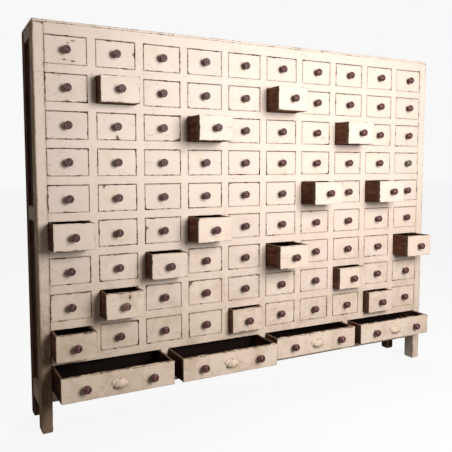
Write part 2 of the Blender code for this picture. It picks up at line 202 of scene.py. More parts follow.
class CabinetStudio(bpy.types.PropertyGroup):
    camera_place: place_property("Camera place", "Where the camera stands", (-1.471, -2.2749, 1.0864))
    camera_yaw: angle_property("Yaw", "Turn to the right from straight on", 25.601)
    camera_pitch: angle_property("Pitch", "Tilt up", -4.480)
    camera_roll: angle_property("Roll", "Turn about the line of sight", -0.309)
    lens: FloatProperty(name="Lens", description="Focal length", default=43.73, min=1.0, unit="CAMERA")
    shift: FloatVectorProperty(name="Shift", description="Lens shift", default=(0.0797, -0.0251), size=2)
    key_place: place_property("Key light", "Where the main light hangs", (0.56, -2.25, 1.63))
    key_aim: place_property("Key aim", "Where the main light points", (0.55, 0.0, 0.90))
    key_power: power_property("Key power", "Power of the main light", 85.0)
    key_radius: size_property("Key radius", "Half the width of the main light", 0.80)
    side_place: place_property("Side light", "Where the weaker light at the left hangs", (-3.2, -0.45, 1.3))
    side_aim: place_property("Side aim", "Where the weaker light points", (-1.0, 0.1, 1.0))
    side_power: power_property("Side power", "Power of the weaker light", 9.0)
    side_radius: size_property("Side radius", "Half the width of the weaker light", 0.60)
    back_place: place_property("Back light", "Where the light behind the cabinet hangs", (0.8, 2.8, 2.9))
    back_aim: place_property("Back aim", "Where the light behind the cabinet points", (0.0, 0.2, 1.0))
    back_power: power_property("Back power", "Power of the light behind the cabinet", 60.0)
    back_radius: size_property("Back radius", "Half the width of the light behind the cabinet", 0.80)
    fill: FloatProperty(name="Fill", description="Strength of the light from all round", default=0.16, min=0.0)
    backdrop: FloatProperty(
        name="Backdrop", description="Brightness of the surroundings in view", default=0.94, min=0.0
    )


class CabinetSettings(bpy.types.PropertyGroup):
    sizes: PointerProperty(type=CabinetSizes)
    finish: PointerProperty(type=CabinetFinish)
    studio: PointerProperty(type=CabinetStudio)


def settings():
    return bpy.context.scene.apothecary


# ---------------------------------------------------------------- mesh building
def add_mark(mesh, label, values):
    """Keeps a value at each point of a mesh, for its finish to read."""
    mesh.attributes.new(label, "FLOAT", "POINT").data.foreach_set("value", np.asarray(values, np.float32))


def ring_faces(rows, steps):
    """Quads between rings of points that follow one another."""
    faces = []
    for row in range(rows):
        for k in range(steps):
            after = (k + 1) % steps
            lower, upper = row * steps, (row + 1) * steps
            faces.append([lower + k, lower + after, upper + after, upper + k])
    return faces


class Shape:
    """Points, faces and normals gathered for one piece, with its wear marks."""

    def __init__(self):
        self.points, self.faces, self.normals = [], [], []
        self.edge, self.bare = [], []
        self.count = 0

    def add(self, points, faces, normals, edge, bare=0.0):
        points = np.asarray(points, float)
        self.points.append(points)
        self.faces += [[int(i) + self.count for i in face] for face in faces]
        self.normals.append(np.asarray(normals, float))
        self.edge.append(np.broadcast_to(edge, len(points)).astype(float))
        self.bare.append(np.broadcast_to(bare, len(points)).astype(float))
        self.count += len(points)
        return self

    def mesh(self, name):
        made = bpy.data.meshes.new(name)
        made.from_pydata(np.concatenate(self.points).tolist(), [], self.faces)
        add_mark(made, "edge", np.concatenate(self.edge))
        add_mark(made, "bare", np.concatenate(self.bare))
        made.polygons.foreach_set("use_smooth", [True] * len(made.polygons))
        made.normals_split_custom_set_from_vertices(np.concatenate(self.normals).tolist())
        return made


@functools.lru_cache(maxsize=None)
def skin(counts):
    """The grid points on the outside of a block cut by this many lines a side, and its quads."""
    found, quads = {}, []
    for axis in range(3):
        across, up = (axis + 1) % 3, (axis + 2) % 3
        for end in (0, counts[axis] - 1):
            for a in range(counts[across] - 1):
                for b in range(counts[up] - 1):
                    quad = []
                    for da, db in ((0, 0), (1, 0), (1, 1), (0, 1)):
                        key = [0, 0, 0]
                        key[axis], key[across], key[up] = end, a + da, b + db
                        quad.append(found.setdefault(tuple(key), len(found)))
                    quads.append(quad if end else quad[::-1])
    return np.array(list(found)), quads


def grid_lines(low, high, ease, band, step):
    """Lines across one side of a board: its edge, the end of the easing, the worn band, then even steps."""
    marks = [0.0, ease]
    if high - low > 2.5 * (ease + band):
        marks.append(ease + band)
    first, last = low + marks[-1], high - marks[-1]
    count = max(1, round((last - first) / step))
    between = [first + (last - first) * k / count for k in range(1, count)]
    return np.array([low + m for m in marks] + between + [high - m for m in reversed(marks)])


def board(low, high, ease=None, band=None, step=0.3):
    """A board with rounded edges, as (points, quads, normals, edge wear)."""
    sizes = settings().sizes
    low, high = np.array(low, float), np.array(high, float)
    ease = min(ease or sizes.ease, 0.3 * (high - low).min())
    band = band or sizes.band
    lines = [grid_lines(low[k], high[k], ease, band, step) for k in range(3)]
    keys, quads = skin(tuple(len(line) for line in lines))
    points = np.stack([lines[k][keys[:, k]] for k in range(3)], axis=1)
    near_edge = np.sort(np.minimum(points - low, high - points), axis=1)[:, 1]
    edge = np.clip(1 - (near_edge - ease) / band, 0, 1)
    core = np.clip(points, low + ease, high - ease)
    normals = points - core
    normals /= np.linalg.norm(normals, axis=1, keepdims=True)
    return core + normals * ease, quads, normals, edge


def knocked(points, edge, low, high, rng, chips):
    """The same board with dents along its front edges and a few chips out of them."""
    sizes = settings().sizes
    points, edge = points.copy(), edge.copy()
    low, high = np.array(low, float), np.array(high, float)
    near = 2 * sizes.ease
    inward = (points - low < near) * 1.0 - (high - points < near) * 1.0
    inward[:, 1] *= 0.4
    rim = (edge >= 1) & (points[:, 1] - low[1] < near) & (np.abs(inward[:, (0, 2)]).sum(1) > 0)
    depth = np.where(rim, rng.random(len(points)) * sizes.dent, 0.0)
    places = np.flatnonzero(rim)
    for place in rng.choice(places, size=min(chips, len(places)), replace=False):
        reach = 0.006 + 0.012 * rng.random()
        away = np.linalg.norm(points - points[place], axis=1)
        fall = np.clip(1 - away / reach, 0, 1)
        depth = np.maximum(depth, np.where(rim, fall * sizes.chip * (0.4 + 0.6 * rng.random()), 0))
        edge += 0.35 * fall
    return points + inward * depth[:, None], edge


def piece(name, shape, finish, body, slot, *nodes, where=(0.0, 0.0, 0.0), tone=0.5):
    """Puts one finished piece in the scene, riding its body and standing for its solids."""
    mesh = shape.mesh(name) if isinstance(shape, Shape) else shape
    made = bpy.data.objects.new(name, mesh)
    made.location = where
    bpy.context.scene.collection.objects.link(made)
    if not mesh.materials:
        mesh.materials.append(material(finish))
    made["tone"] = float(tone)
    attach(made, body)
    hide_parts(*nodes)
    return made


def tone_of(row, column):
    """A steady small difference between one drawer and the next."""
    return 0.5 + 0.5 * math.sin(12.9898 * row + 78.233 * column)


# ---------------------------------------------------------------- node helpers
class Graph:
    """Adds nodes to a tree from left to right and joins them up."""

    def __init__(self, tree):
        self.tree = tree
        self.column = 0

    def add(self, kind, inputs=None, **values):
        made = self.tree.nodes.new(kind)
        made.location = (190 * (self.column // 3), -230 * (self.column % 3))
        self.column += 1
        for key, value in values.items():
            setattr(made, key, value)
        for key, value in (inputs or {}).items():
            self.join(value, made.inputs[key])
        return made

    def join(self, value, socket):
        if isinstance(value, bpy.types.NodeSocket):
            self.tree.links.new(value, socket)
        else:
            socket.default_value = value

    def math(self, operation, first, second=0.0, third=None, clamp=False):
        inputs = {0: first, 1: second}
        if third is not None:
            inputs[2] = third
        return self.add("ShaderNodeMath", inputs, operation=operation, use_clamp=clamp).outputs[0]

    def blend(self, share, first, second, kind="MIX"):
        inputs = {0: share, 6: first, 7: second}
        made = self.add("ShaderNodeMix", inputs, data_type="RGBA", blend_type=kind)
        return made.outputs[2]

    def step(self, value, low, high, start=0.0, end=1.0):
        """A soft step from start to end as value goes from low to high."""
        inputs = {"Value": value, "From Min": low, "From Max": high, "To Min": start, "To Max": end}
        made = self.add("ShaderNodeMapRange", inputs, interpolation_type="SMOOTHSTEP")
        return made.outputs[0]

    def noise(self, vector, scale, detail=3.0, roughness=0.55, distortion=0.0):
        inputs = {"Vector": vector, "Scale": scale, "Detail": detail, "Roughness": roughness, "Distortion": distortion}
        return self.add("ShaderNodeTexNoise", inputs).outputs["Fac"]

    def stretch(self, vector, scale):
        return self.add("ShaderNodeVectorMath", {0: vector, 1: scale}, operation="MULTIPLY").outputs[0]

    def place(self):
        """Where a point is in its piece. Every piece but the knobs and pulls has its origin at the cabinet's."""
        return self.add("ShaderNodeTexCoord").outputs["Object"]

    def part(self, vector, axis):
        return self.add("ShaderNodeSeparateXYZ", {0: vector}).outputs[axis]

    def mark(self, name):
        """A value kept at each point of the mesh."""
        return self.add("ShaderNodeAttribute", attribute_name=name).outputs["Fac"]

    def own(self, name):
        """A value kept on the piece."""
        return self.add("ShaderNodeAttribute", attribute_name=name, attribute_type="OBJECT").outputs["Fac"]

    def group(self, tree, **inputs):
        return self.add("ShaderNodeGroup", inputs, node_tree=tree).outputs


SOCKETS = {"value": "NodeSocketFloat", "colour": "NodeSocketColor", "vector": "NodeSocketVector"}


def node_group(name, inputs, outputs, fill):
    """A shader node group with named sockets, made the first time it is asked for."""
    found = bpy.data.node_groups.get(name)
    if found:
        return found
    tree = bpy.data.node_groups.new(name, "ShaderNodeTree")
    for label, kind, value in inputs:
        socket = tree.interface.new_socket(label, in_out="INPUT", socket_type=SOCKETS[kind])
        if value is not None:
            socket.default_value = value
    for label, kind in outputs:
        tree.interface.new_socket(label, in_out="OUTPUT", socket_type=SOCKETS[kind])
    graph = Graph(tree)
    source = graph.add("NodeGroupInput").outputs
    results = fill(graph, source)
    sink = graph.add("NodeGroupOutput")
    for label, value in results.items():
        graph.join(value, sink.inputs[label])
    return tree


# ---------------------------------------------------------------- effects shared between finishes
def edge_wear_group():
    """Where paint has gone: broken lines along the edges, and scattered specks."""

    def fill(graph, source):
        rough = graph.noise(source["Vector"], 70.0, 6.0, 0.66)
        patchy = graph.noise(source["Vector"], 11.0, 2.0, 0.5)
        lift = graph.math("MULTIPLY_ADD", rough, 1.9, -0.95)
        lift = graph.math("MULTIPLY_ADD", patchy, 1.1, graph.math("ADD", lift, -0.55))
        reach = graph.math("ADD", source["Edge"], lift)
        limit = graph.math("MULTIPLY_ADD", source["Amount"], -0.30, 1.42)
        over = graph.math("SUBTRACT", reach, limit)
        worn = graph.step(over, -0.02, 0.05)
        specks = graph.noise(source["Vector"], 150.0, 2.0, 0.5)
        clouds = graph.noise(source["Vector"], 7.0, 2.0, 0.6)
        spread = graph.math("MULTIPLY_ADD", clouds, 0.30, specks)
        limit = graph.math("MULTIPLY_ADD", source["Specks"], -0.10, 1.02)
        dots = graph.step(graph.math("SUBTRACT", spread, limit), 0.0, 0.03)
        # A soft band along the edges, next to the worn lines; the finishes darken it as painted shade.
        near = graph.step(over, -0.20, -0.02)
        lines = graph.noise(graph.stretch(source["Vector"], (0.05, 0.3, 1.0)), 420.0, 2.0, 0.5)
        marks = graph.step(graph.math("MULTIPLY_ADD", clouds, 0.35, lines), 0.885, 0.915, 0.0, 0.80)
        dots = graph.math("MAXIMUM", dots, graph.math("MULTIPLY", marks, source["Specks"]))
        return {"Bare": graph.math("MAXIMUM", worn, dots), "Border": near}

    inputs = [("Vector", "vector", None), ("Edge", "value", 0.0), ("Amount", "value", 1.0), ("Specks", "value", 1.0)]
    return node_group("Edge Wear", inputs, [("Bare", "value"), ("Border", "value")], fill)


def old_paint_group():
    """Hand-brushed paint: faint strokes, yellowing and dirt, yellower at the lower left, painted shade along the edges,
    and darker low down, partly stains and partly painted shade.
    """

    def fill(graph, source):
        vector = source["Vector"]
        across, up = graph.part(vector, "X"), graph.part(vector, "Z")
        strokes = graph.noise(graph.stretch(vector, source["Stroke"]), 1.0, 5.0, 0.6)
        broad = graph.noise(vector, 2.3, 3.0, 0.6)
        patches = graph.noise(vector, 17.0, 4.0, 0.62, 0.4)
        shade = graph.math("MULTIPLY_ADD", broad, 0.10, 0.90)
        shade = graph.math("MULTIPLY_ADD", source["Tone"], 0.05, shade)
        shade = graph.math("MULTIPLY_ADD", strokes, 0.08, graph.math("ADD", shade, -0.06))
        tinted = graph.blend(1.0, source["Paint"], shade, "MULTIPLY")
        yellow = graph.math("ADD", patches, graph.math("MULTIPLY", source["Tone"], 0.10))
        yellow = graph.step(yellow, 0.52, 0.80, 0.0, 0.30)
        corner = graph.step(across, CAD_LOW.x, 0.3, 0.26, 0.05)
        yellow = graph.math("MULTIPLY_ADD", graph.step(up, 0.20, 0.75, 1.0, 0.0), corner, yellow)
        coloured = graph.blend(yellow, tinted, source["Yellowed"])
        # Dirt from the strokes and patches; the lines below add painted shade to it.
        dirt_and_shade = graph.step(graph.math("MULTIPLY_ADD", strokes, 0.5, patches), 0.86, 1.12, 0.0, 0.20)
        # Painted shade: a soft darkening along every edge, for the shade in the gaps between parts.
        dirt_and_shade = graph.math("MULTIPLY_ADD", graph.step(source["Edge"], 0.0, 1.1), 0.22, dirt_and_shade)
        # Darker, mottled paint low down: partly stains, partly painted shade where less light reaches.
        mottle = graph.step(graph.noise(vector, 9.0, 6.0, 0.7, 0.6), 0.38, 0.72, 0.05, 0.58)
        dirt_and_shade = graph.math("MULTIPLY_ADD", graph.step(up, 0.15, 1.15, 1.0, 0.0), mottle, dirt_and_shade)
        coloured = graph.blend(graph.math("MULTIPLY", dirt_and_shade, source["Soiling"]), coloured, source["Dirt"])
        fine = graph.math("MULTIPLY", graph.noise(vector, 260.0, 2.0, 0.5), 0.25)
        height = graph.math("MULTIPLY_ADD", strokes, 0.7, fine)
        gloss = graph.math("MULTIPLY_ADD", patches, 0.22, 0.42)
        return {"Color": coloured, "Height": height, "Roughness": gloss}

    inputs = [
        ("Vector", "vector", None), ("Stroke", "vector", (9.0, 60.0, 120.0)), ("Tone", "value", 0.5),
        ("Edge", "value", 0.0), ("Paint", "colour", None), ("Yellowed", "colour", (0.72, 0.56, 0.36, 1.0)),
        ("Dirt", "colour", None), ("Soiling", "value", 1.0),
    ]
    return node_group("Old Paint", inputs, [("Color", "colour"), ("Height", "value"), ("Roughness", "value")], fill)


def wood_grain_group():
    """Long grain with darker streaks and open pores."""

    def fill(graph, source):
        along = graph.stretch(source["Vector"], source["Grain"])
        streaks = graph.noise(along, 1.0, 6.0, 0.62, 0.8)
        pores = graph.noise(graph.stretch(along, (2.0, 2.0, 2.0)), 2.2, 3.0, 0.7)
        stains = graph.noise(source["Vector"], 8.0, 4.0, 0.6, 0.5)
        share = graph.step(streaks, 0.30, 0.70)
        share = graph.math("MULTIPLY", share, graph.step(stains, 0.25, 0.62, 0.35, 1.0))
        coloured = graph.blend(share, source["Dark"], source["Light"])
        lines = graph.step(pores, 0.60, 0.72, 0.0, 0.55)
        coloured = graph.blend(lines, coloured, source["Dark"])
        height = graph.math("MULTIPLY_ADD", pores, -0.5, streaks)
        return {"Color": coloured, "Height": height}

    inputs = [
        ("Vector", "vector", None), ("Grain", "vector", (60.0, 8.0, 60.0)),
        ("Dark", "colour", None), ("Light", "colour", None),
    ]
    return node_group("Wood Grain", inputs, [("Color", "colour"), ("Height", "value")], fill)


# ---------------------------------------------------------------- finishes
def rgba(colour, factor=1.0):
    return (*(min(1.0, part * factor) for part in colour), 1.0)


def start_material(name):
    made = bpy.data.materials.new(name)
    made.use_nodes = True
    made.node_tree.nodes.clear()
    return made, Graph(made.node_tree)


def end_material(graph, colour, roughness, height, depth, **sockets):
    """Joins colour, roughness and bump to the shader."""
    bump = graph.add("ShaderNodeBump", {"Height": height, "Strength": 1.0, "Distance": depth})
    inputs = {"Base Color": colour, "Roughness": roughness, "Normal": bump.outputs[0]}
    shader = graph.add("ShaderNodeBsdfPrincipled", {**inputs, **sockets})
    sink = graph.add("ShaderNodeOutputMaterial")
    graph.join(shader.outputs[0], sink.inputs["Surface"])


def lost_paint(graph, place, patchy, heights, soft):
    """Where paint has come away in ragged patches."""
    ragged = graph.noise(graph.stretch(place, (2.0, 2.0, 1.0)), 16.0, 6.0, 0.68)
    lost = graph.math("ADD", graph.mark("bare"), patchy)
    if heights:
        lost = graph.math("ADD", lost, graph.step(graph.part(place, "Z"), *heights, 0.95, 0.0))
    ragged = graph.math("MULTIPLY_ADD", ragged, 1.6, graph.math("ADD", lost, -0.8))
    return graph.step(ragged, 0.51 - soft, 0.51 + soft)


def painted(name, paint, dark, light, stroke, grain, wear, specks, dirt_and_shade_amount, patchy=0.0, heights=None, soft=0.05):
    """Old paint over wood, with more bare edge at the left, partly wear and partly painted shade in the gaps. It wears
    away downwards between two heights above the floor.
    """
    finish = settings().finish
    dirt = rgba(finish.dirt)
    made, graph = start_material(name)
    place, edge = graph.place(), graph.mark("edge")
    wear *= finish.wear
    # Bare edges, partly worn paint and partly painted shade in the gaps, more of them at the left where the gaps lie in
    # shade.
    amount = graph.step(graph.part(place, "X"), CAD_LOW.x, CAD_HIGH.x, 1.10 * wear, 0.60 * wear)
    worn = graph.group(edge_wear_group(), Vector=place, Edge=edge, Amount=amount, Specks=specks)
    coat = graph.group(
        old_paint_group(), Vector=place, Stroke=stroke, Tone=graph.own("tone"), Edge=edge,
        Paint=rgba(paint), Dirt=dirt, Soiling=dirt_and_shade_amount,
    )
    wood = graph.group(wood_grain_group(), Vector=place, Grain=grain, Dark=rgba(dark), Light=rgba(light))
    gone = graph.math("MAXIMUM", worn["Bare"], lost_paint(graph, place, patchy, heights, soft))
    # Painted shade with some grime: the dirt colour laid in a soft band along the edges.
    colour = graph.blend(graph.math("MULTIPLY", worn["Border"], 0.35), coat["Color"], dirt)
    colour = graph.blend(gone, colour, wood["Color"])
    roughness = graph.math("MULTIPLY_ADD", gone, 0.25, coat["Roughness"])
    height = graph.math("MULTIPLY_ADD", gone, -1.1, coat["Height"])
    height = graph.math("MULTIPLY_ADD", wood["Height"], graph.math("MULTIPLY", gone, 0.35), height)
    end_material(graph, colour, roughness, height, 0.0004)
    return made


def wooden(name, dark, light, grain, inside=None, worn_edge=0.0):
    """Unpainted wood, darker where the bare mark says that it is the inside of a box, a painted shade with some grime.
    """
    made, graph = start_material(name)
    place = graph.place()
    wood = graph.group(wood_grain_group(), Vector=place, Grain=grain, Dark=rgba(dark), Light=rgba(light))
    shade = graph.math("MULTIPLY_ADD", graph.own("tone"), 0.35, 0.80)
    colour = graph.blend(1.0, wood["Color"], shade, "MULTIPLY")
    if worn_edge:
        rubbed = graph.math("MULTIPLY_ADD", graph.noise(place, 45.0, 5.0, 0.65), 0.8, graph.mark("edge"))
        colour = graph.blend(graph.step(rubbed, 1.02, 1.40, 0.0, worn_edge), colour, (0.210, 0.150, 0.110, 1.0))
    # Painted shade with some grime: the inside colour on the inner skin of a box.
    if inside:
        colour = graph.blend(graph.step(graph.mark("bare"), 0.3, 0.7), colour, rgba(inside))
    matt = graph.math("MULTIPLY_ADD", wood["Height"], 0.15, 0.65)
    end_material(graph, colour, matt, wood["Height"], 0.0005, **{"Specular IOR Level": 0.04})
    return made


def knob_wood(name):
    """Dark turned wood, polished by hands, with a painted highlight on its ridges and dirt with painted shade in its
    grooves.
    """
    plum = settings().finish.plum
    made, graph = start_material(name)
    tone, edge = graph.own("tone"), graph.mark("edge")
    inputs = {"X": graph.math("MULTIPLY", tone, 3.7), "Z": graph.math("MULTIPLY", tone, 1.9)}
    offset = graph.add("ShaderNodeCombineXYZ", inputs).outputs[0]
    place = graph.add("ShaderNodeVectorMath", {0: graph.place(), 1: offset}, operation="ADD").outputs[0]
    grain = (150.0, 60.0, 380.0)
    wood = graph.group(wood_grain_group(), Vector=place, Grain=grain, Dark=rgba(plum, 0.55), Light=rgba(plum, 1.35))
    colour = graph.blend(graph.math("MULTIPLY", graph.own("faded"), 0.85), wood["Color"], (0.230, 0.130, 0.095, 1.0))
    colour = graph.blend(graph.math("MULTIPLY", graph.own("olive"), 0.85), colour, (0.150, 0.125, 0.085, 1.0))
    # Painted highlight with some rubbing: lighter on the ridges and the middle of the face.
    rubbed = graph.math("MULTIPLY_ADD", graph.noise(place, 130.0, 4.0, 0.6), 0.9, edge)
    colour = graph.blend(graph.step(rubbed, 1.00, 1.45, 0.0, 0.60), colour, (0.330, 0.190, 0.190, 1.0))
    # Painted shade with some dirt: near black in the grooves, on the neck and at the foot.
    colour = graph.blend(graph.step(edge, -1.0, -0.1, 0.8, 0.0), colour, (0.020, 0.010, 0.010, 1.0))
    shine = graph.math("MULTIPLY_ADD", wood["Height"], 0.16, 0.28)
    end_material(graph, colour, shine, wood["Height"], 0.00012, **{"Specular IOR Level": 0.5})
    return made


def screw_steel(name):
    """Small steel screw heads with rust in them."""
    made, graph = start_material(name)
    rust = graph.step(graph.noise(graph.place(), 900.0, 4.0, 0.6), 0.42, 0.62)
    colour = graph.blend(rust, (0.42, 0.38, 0.34, 1.0), (0.10, 0.060, 0.040, 1.0))
    end_material(graph, colour, graph.math("MULTIPLY_ADD", rust, 0.35, 0.38), rust, 0.0001, Metallic=0.6)
    return made


# How finely strokes and grain are drawn along each axis: the smallest number is the way they run.
ALL_WAYS = (90.0, 90.0, 90.0)
ALONG_X = (8.0, 60.0, 130.0)
ALONG_Y = (60.0, 8.0, 60.0)
ALONG_Z = (90.0, 60.0, 7.0)
GRAIN_X = (7.0, 60.0, 60.0)
GRAIN_Z = (70.0, 70.0, 6.0)


def material(name):
    """A finish by name, made the first time it is asked for."""
    found = bpy.data.materials.get(name)
    if found:
        return found
    finish = settings().finish
    bare = (finish.bare_dark, finish.bare_light)
    leg = (finish.leg_dark, finish.leg_light)
    upright = (ALONG_Z, GRAIN_Z)
    if name == "Cream Paint":
        return painted(name, finish.cream, *bare, ALONG_X, GRAIN_X, 1.0, 0.8, 1.0)
    if name == "Post Paint":
        return painted(name, finish.cream, *leg, *upright, 1.0, 1.0, 1.6, heights=(0.10, 0.72), soft=0.42)
    if name == "Pale Leg Paint":
        return painted(name, finish.cream, *leg, *upright, 0.9, 1.0, 1.0, patchy=0.05)
    if name == "Side Paint":
        return painted(name, finish.side_grey, *leg, ALONG_Y, ALONG_Y, 1.6, 2.0, 1.6, patchy=0.25)
    if name == "Cup Paint":
        return painted(name, finish.cup, *leg, ALL_WAYS, ALONG_X, 1.3, 1.0, 1.8, patchy=0.10, soft=0.25)
    if name == "Panel Wood":
        dark, light = ([part * share for part in finish.panel] for share in (0.5, 1.5))
        return wooden(name, dark, light, GRAIN_Z)
    if name == "Dark Wood":
        return wooden(name, (0.060, 0.026, 0.019), (0.190, 0.100, 0.066), GRAIN_Z, worn_edge=0.5)
    if name == "Drawer Wood":
        return wooden(name, finish.box_dark, finish.box_light, ALONG_Y, finish.inside, worn_edge=0.45)
    if name == "Back Wood":
        return wooden(name, (0.110, 0.068, 0.042), (0.360, 0.240, 0.150), GRAIN_X, worn_edge=0.4)
    # Near black: painted shade on the shelves deep in the case, behind the openings.
    if name == "Shelf Wood":
        return wooden(name, (0.012, 0.008, 0.006), (0.040, 0.025, 0.018), GRAIN_X)
    return {"Knob Wood": knob_wood, "Screw Steel": screw_steel}[name](name)


# ---------------------------------------------------------------- pieces of the case
def worn_board(low, high, rng, chips, bare=None, step=0.02, **options):
    """A painted board with dents and chips along its front edges. bare gives how bare each point is."""
    points, quads, normals, edge = board(low, high, step=step, **options)
    shown = bare(points) if bare else 0.0
    points, edge = knocked(points, edge, low, high, rng, chips)
    return Shape().add(points, quads, normals, edge, shown)


def post_shape(low, high, chamfer, rng, chips, bare=None):
    """A post whose foot is narrowed by its chamfers."""
    shape = worn_board(low, high, rng, chips, bare, step=0.03, ease=0.0022, band=0.008)
    points = shape.points[0]
    low, high = np.array(low, float), np.array(high, float)
    at_foot = np.clip(1 - (points[:, 2] - low[2]) / chamfer, 0, 1)
    centre = (low + high) / 2
    for axis in (0, 1):
        half = (high[axis] - low[axis]) / 2
        points[:, axis] = centre[axis] + (points[:, axis] - centre[axis]) * (1 - at_foot * chamfer / half)
    return shape


def post_bare(points, low, outer):
    """A front post is barest on its outer side, and a little bare behind its front."""
    outside = np.where(np.abs(points[:, 0] - outer) < 0.0005, 0.62, 0.0)
    return outside + np.where(points[:, 1] > low.y + 0.004, 0.12, 0.0)


def build_posts():
    rng = np.random.default_rng(11)
    for side in ("left", "right"):
        node = f"post_front_{side}"
        low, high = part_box(node)
        bare = functools.partial(post_bare, low=low, outer=low.x if side == "left" else high.x)
        shape = post_shape(low, high, 0.005, rng, 26, bare)
        if side == "left":
            points = shape.points[0]
            corner = (points[:, 0] < low.x + 0.0045) & (points[:, 1] < low.y + 0.0045)
            shape.edge[0] = shape.edge[0] + np.where(corner, 0.62, 0.0)
        finish, slot = ("Post Paint", "worn_leg") if side == "left" else ("Pale Leg Paint", "pale_leg")
        piece(f"front_post_{side}", shape, finish, "case", slot, node)
        node = f"post_back_{side}"
        shape = post_shape(*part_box(node), 0.006, rng, 10)
        piece(f"back_post_{side}", shape, "Dark Wood", "case", "dark_wood", node)


def build_top():
    rng = np.random.default_rng(12)
    low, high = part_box("top_board")
    shape = worn_board(low, high, rng, 12, ease=0.0022, band=0.002, step=0.025)
    piece("top_plank", shape, "Cream Paint", "case", "cream_paint", "top_board")
    low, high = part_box("top_rail")
    xs, zs = frame_lines()
    zs = [low.z] + [z for z in zs if low.z < z < high.z] + [high.z]
    mesh = lattice("top_rail", xs, zs, np.random.default_rng(13))
    piece("rail_top", mesh, "Cream Paint", "case", "cream_paint", "top_rail")


def windows():
    """Every opening in the front, small and wide, as (left, right, bottom, top)."""
    found = [window(column_x(column), row_z(row), FRONT_SIZE.x, FRONT_SIZE.z) for row, column in cells()]
    for box in WIDE.values():
        centre, size = middle(box), box[1] - box[0]
        found.append(window(centre.x, centre.z, size.x, size.z))
    return found


def thinned(values, least=0.0004):
    """Sorted values with near repeats left out."""
    kept = []
    for value in sorted(values):
        if not kept or value - kept[-1] > least:
            kept.append(value)
    return kept


@functools.lru_cache(maxsize=None)
def frame_lines():
    """The lines across and up the face frame: round every opening, and evenly along its sides."""
    sizes = settings().sizes
    reach = (0.0, sizes.ease, sizes.ease + sizes.band)
    xs, zs = set(), set()
    for left, right, bottom, top in windows():
        for away in reach:
            xs.update((left - away, right + away))
            zs.update((bottom - away, top + away))
        if right - left < 0.3:
            xs.update(np.linspace(left, right, 11)[1:-1])
            zs.update(np.linspace(bottom, top, 8)[1:-1])
    low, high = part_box("face_frame")[0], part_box("top_rail")[1]
    ends = (low.x, -low.x)
    xs = thinned([x for x in xs if ends[0] < x < ends[1]] + list(ends))
    zs = thinned([z for z in zs if low.z < z < high.z] + [low.z, high.z])
    return tuple(xs), tuple(zs)


TOUCH = 0.0002
CHIP_SHARE = 0.015
CHIP_REACH = 0.014


def lattice_cells(xs, zs, openings):
    """Which cells of the grid are wood."""
    x, z = (xs[1:] + xs[:-1]) / 2, (zs[1:] + zs[:-1]) / 2
    solid = np.ones((len(x), len(z)), bool)
    for left, right, bottom, top in openings:
        solid[np.ix_((x > left) & (x < right), (z > bottom) & (z < top))] = False
    return solid


def lattice_rims(x, z, openings):
    """How far each point is from the nearest opening, and on a rim which way leads into the wood."""
    away = np.full(x.shape, 1.0)
    inward = np.zeros((len(x), 2))
    for left, right, bottom, top in openings:
        across = np.maximum(np.maximum(left - x, x - right), 0)
        up = np.maximum(np.maximum(bottom - z, z - top), 0)
        gap = np.hypot(across, up)
        away = np.minimum(away, gap)
        on = gap < TOUCH
        inward[on, 0] += (x[on] > right - TOUCH) * 1.0 - (x[on] < left + TOUCH) * 1.0
        inward[on, 1] += (z[on] > top - TOUCH) * 1.0 - (z[on] < bottom + TOUCH) * 1.0
    return away, inward


def lattice_wear(x, z, away, rng):
    """Which points are on a rim, how worn each is, and how deep its dent or chip."""
    sizes = settings().sizes
    rim = away < TOUCH
    edge = np.clip(1 - (away - sizes.ease) / sizes.band, 0, 1)
    dent = np.where(rim, rng.random(len(x)) * sizes.dent, 0.0)
    chips = rim & (rng.random(len(x)) < CHIP_SHARE)
    dent = np.where(chips, sizes.chip * (0.4 + 0.6 * rng.random(len(x))), dent)
    for place in np.flatnonzero(chips):
        edge += 0.3 * np.clip(1 - np.hypot(x - x[place], z - z[place]) / CHIP_REACH, 0, 1)
    return rim, edge, dent


def lattice_faces(solid):
    """Fronts, backs, and walls where the wood ends. Points come three times: front, back and behind the easing."""
    wide, tall = solid.shape
    count = (wide + 1) * (tall + 1)
    padded = np.pad(solid, 1)
    faces = []
    for i, j in np.argwhere(solid).tolist():
        first = i * (tall + 1) + j
        quad = [first, first + tall + 1, first + tall + 2, first + 1]
        faces.append(quad)
        faces.append([k + count for k in reversed(quad)])
        sides = (
            (padded[i, j + 1], quad[3], quad[0]),
            (padded[i + 2, j + 1], quad[1], quad[2]),
            (padded[i + 1, j], quad[0], quad[1]),
            (padded[i + 1, j + 2], quad[2], quad[3]),
        )
        for wood, start, end in sides:
            if not wood:
                faces.append([end, start, start + 2 * count, end + 2 * count])
                faces.append([end + 2 * count, start + 2 * count, start + count, end + count])
    return faces


def flat_mesh(name, points, faces, marks):
    """A mesh of only the points that its faces use."""
    used = np.unique(np.concatenate([np.array(face) for face in faces]))
    number = np.zeros(len(points), int)
    number[used] = np.arange(len(used))
    made = bpy.data.meshes.new(name)
    made.from_pydata(points[used].tolist(), [], [[int(number[k]) for k in face] for face in faces])
    for label, values in marks.items():
        add_mark(made, label, values[used])
    return made


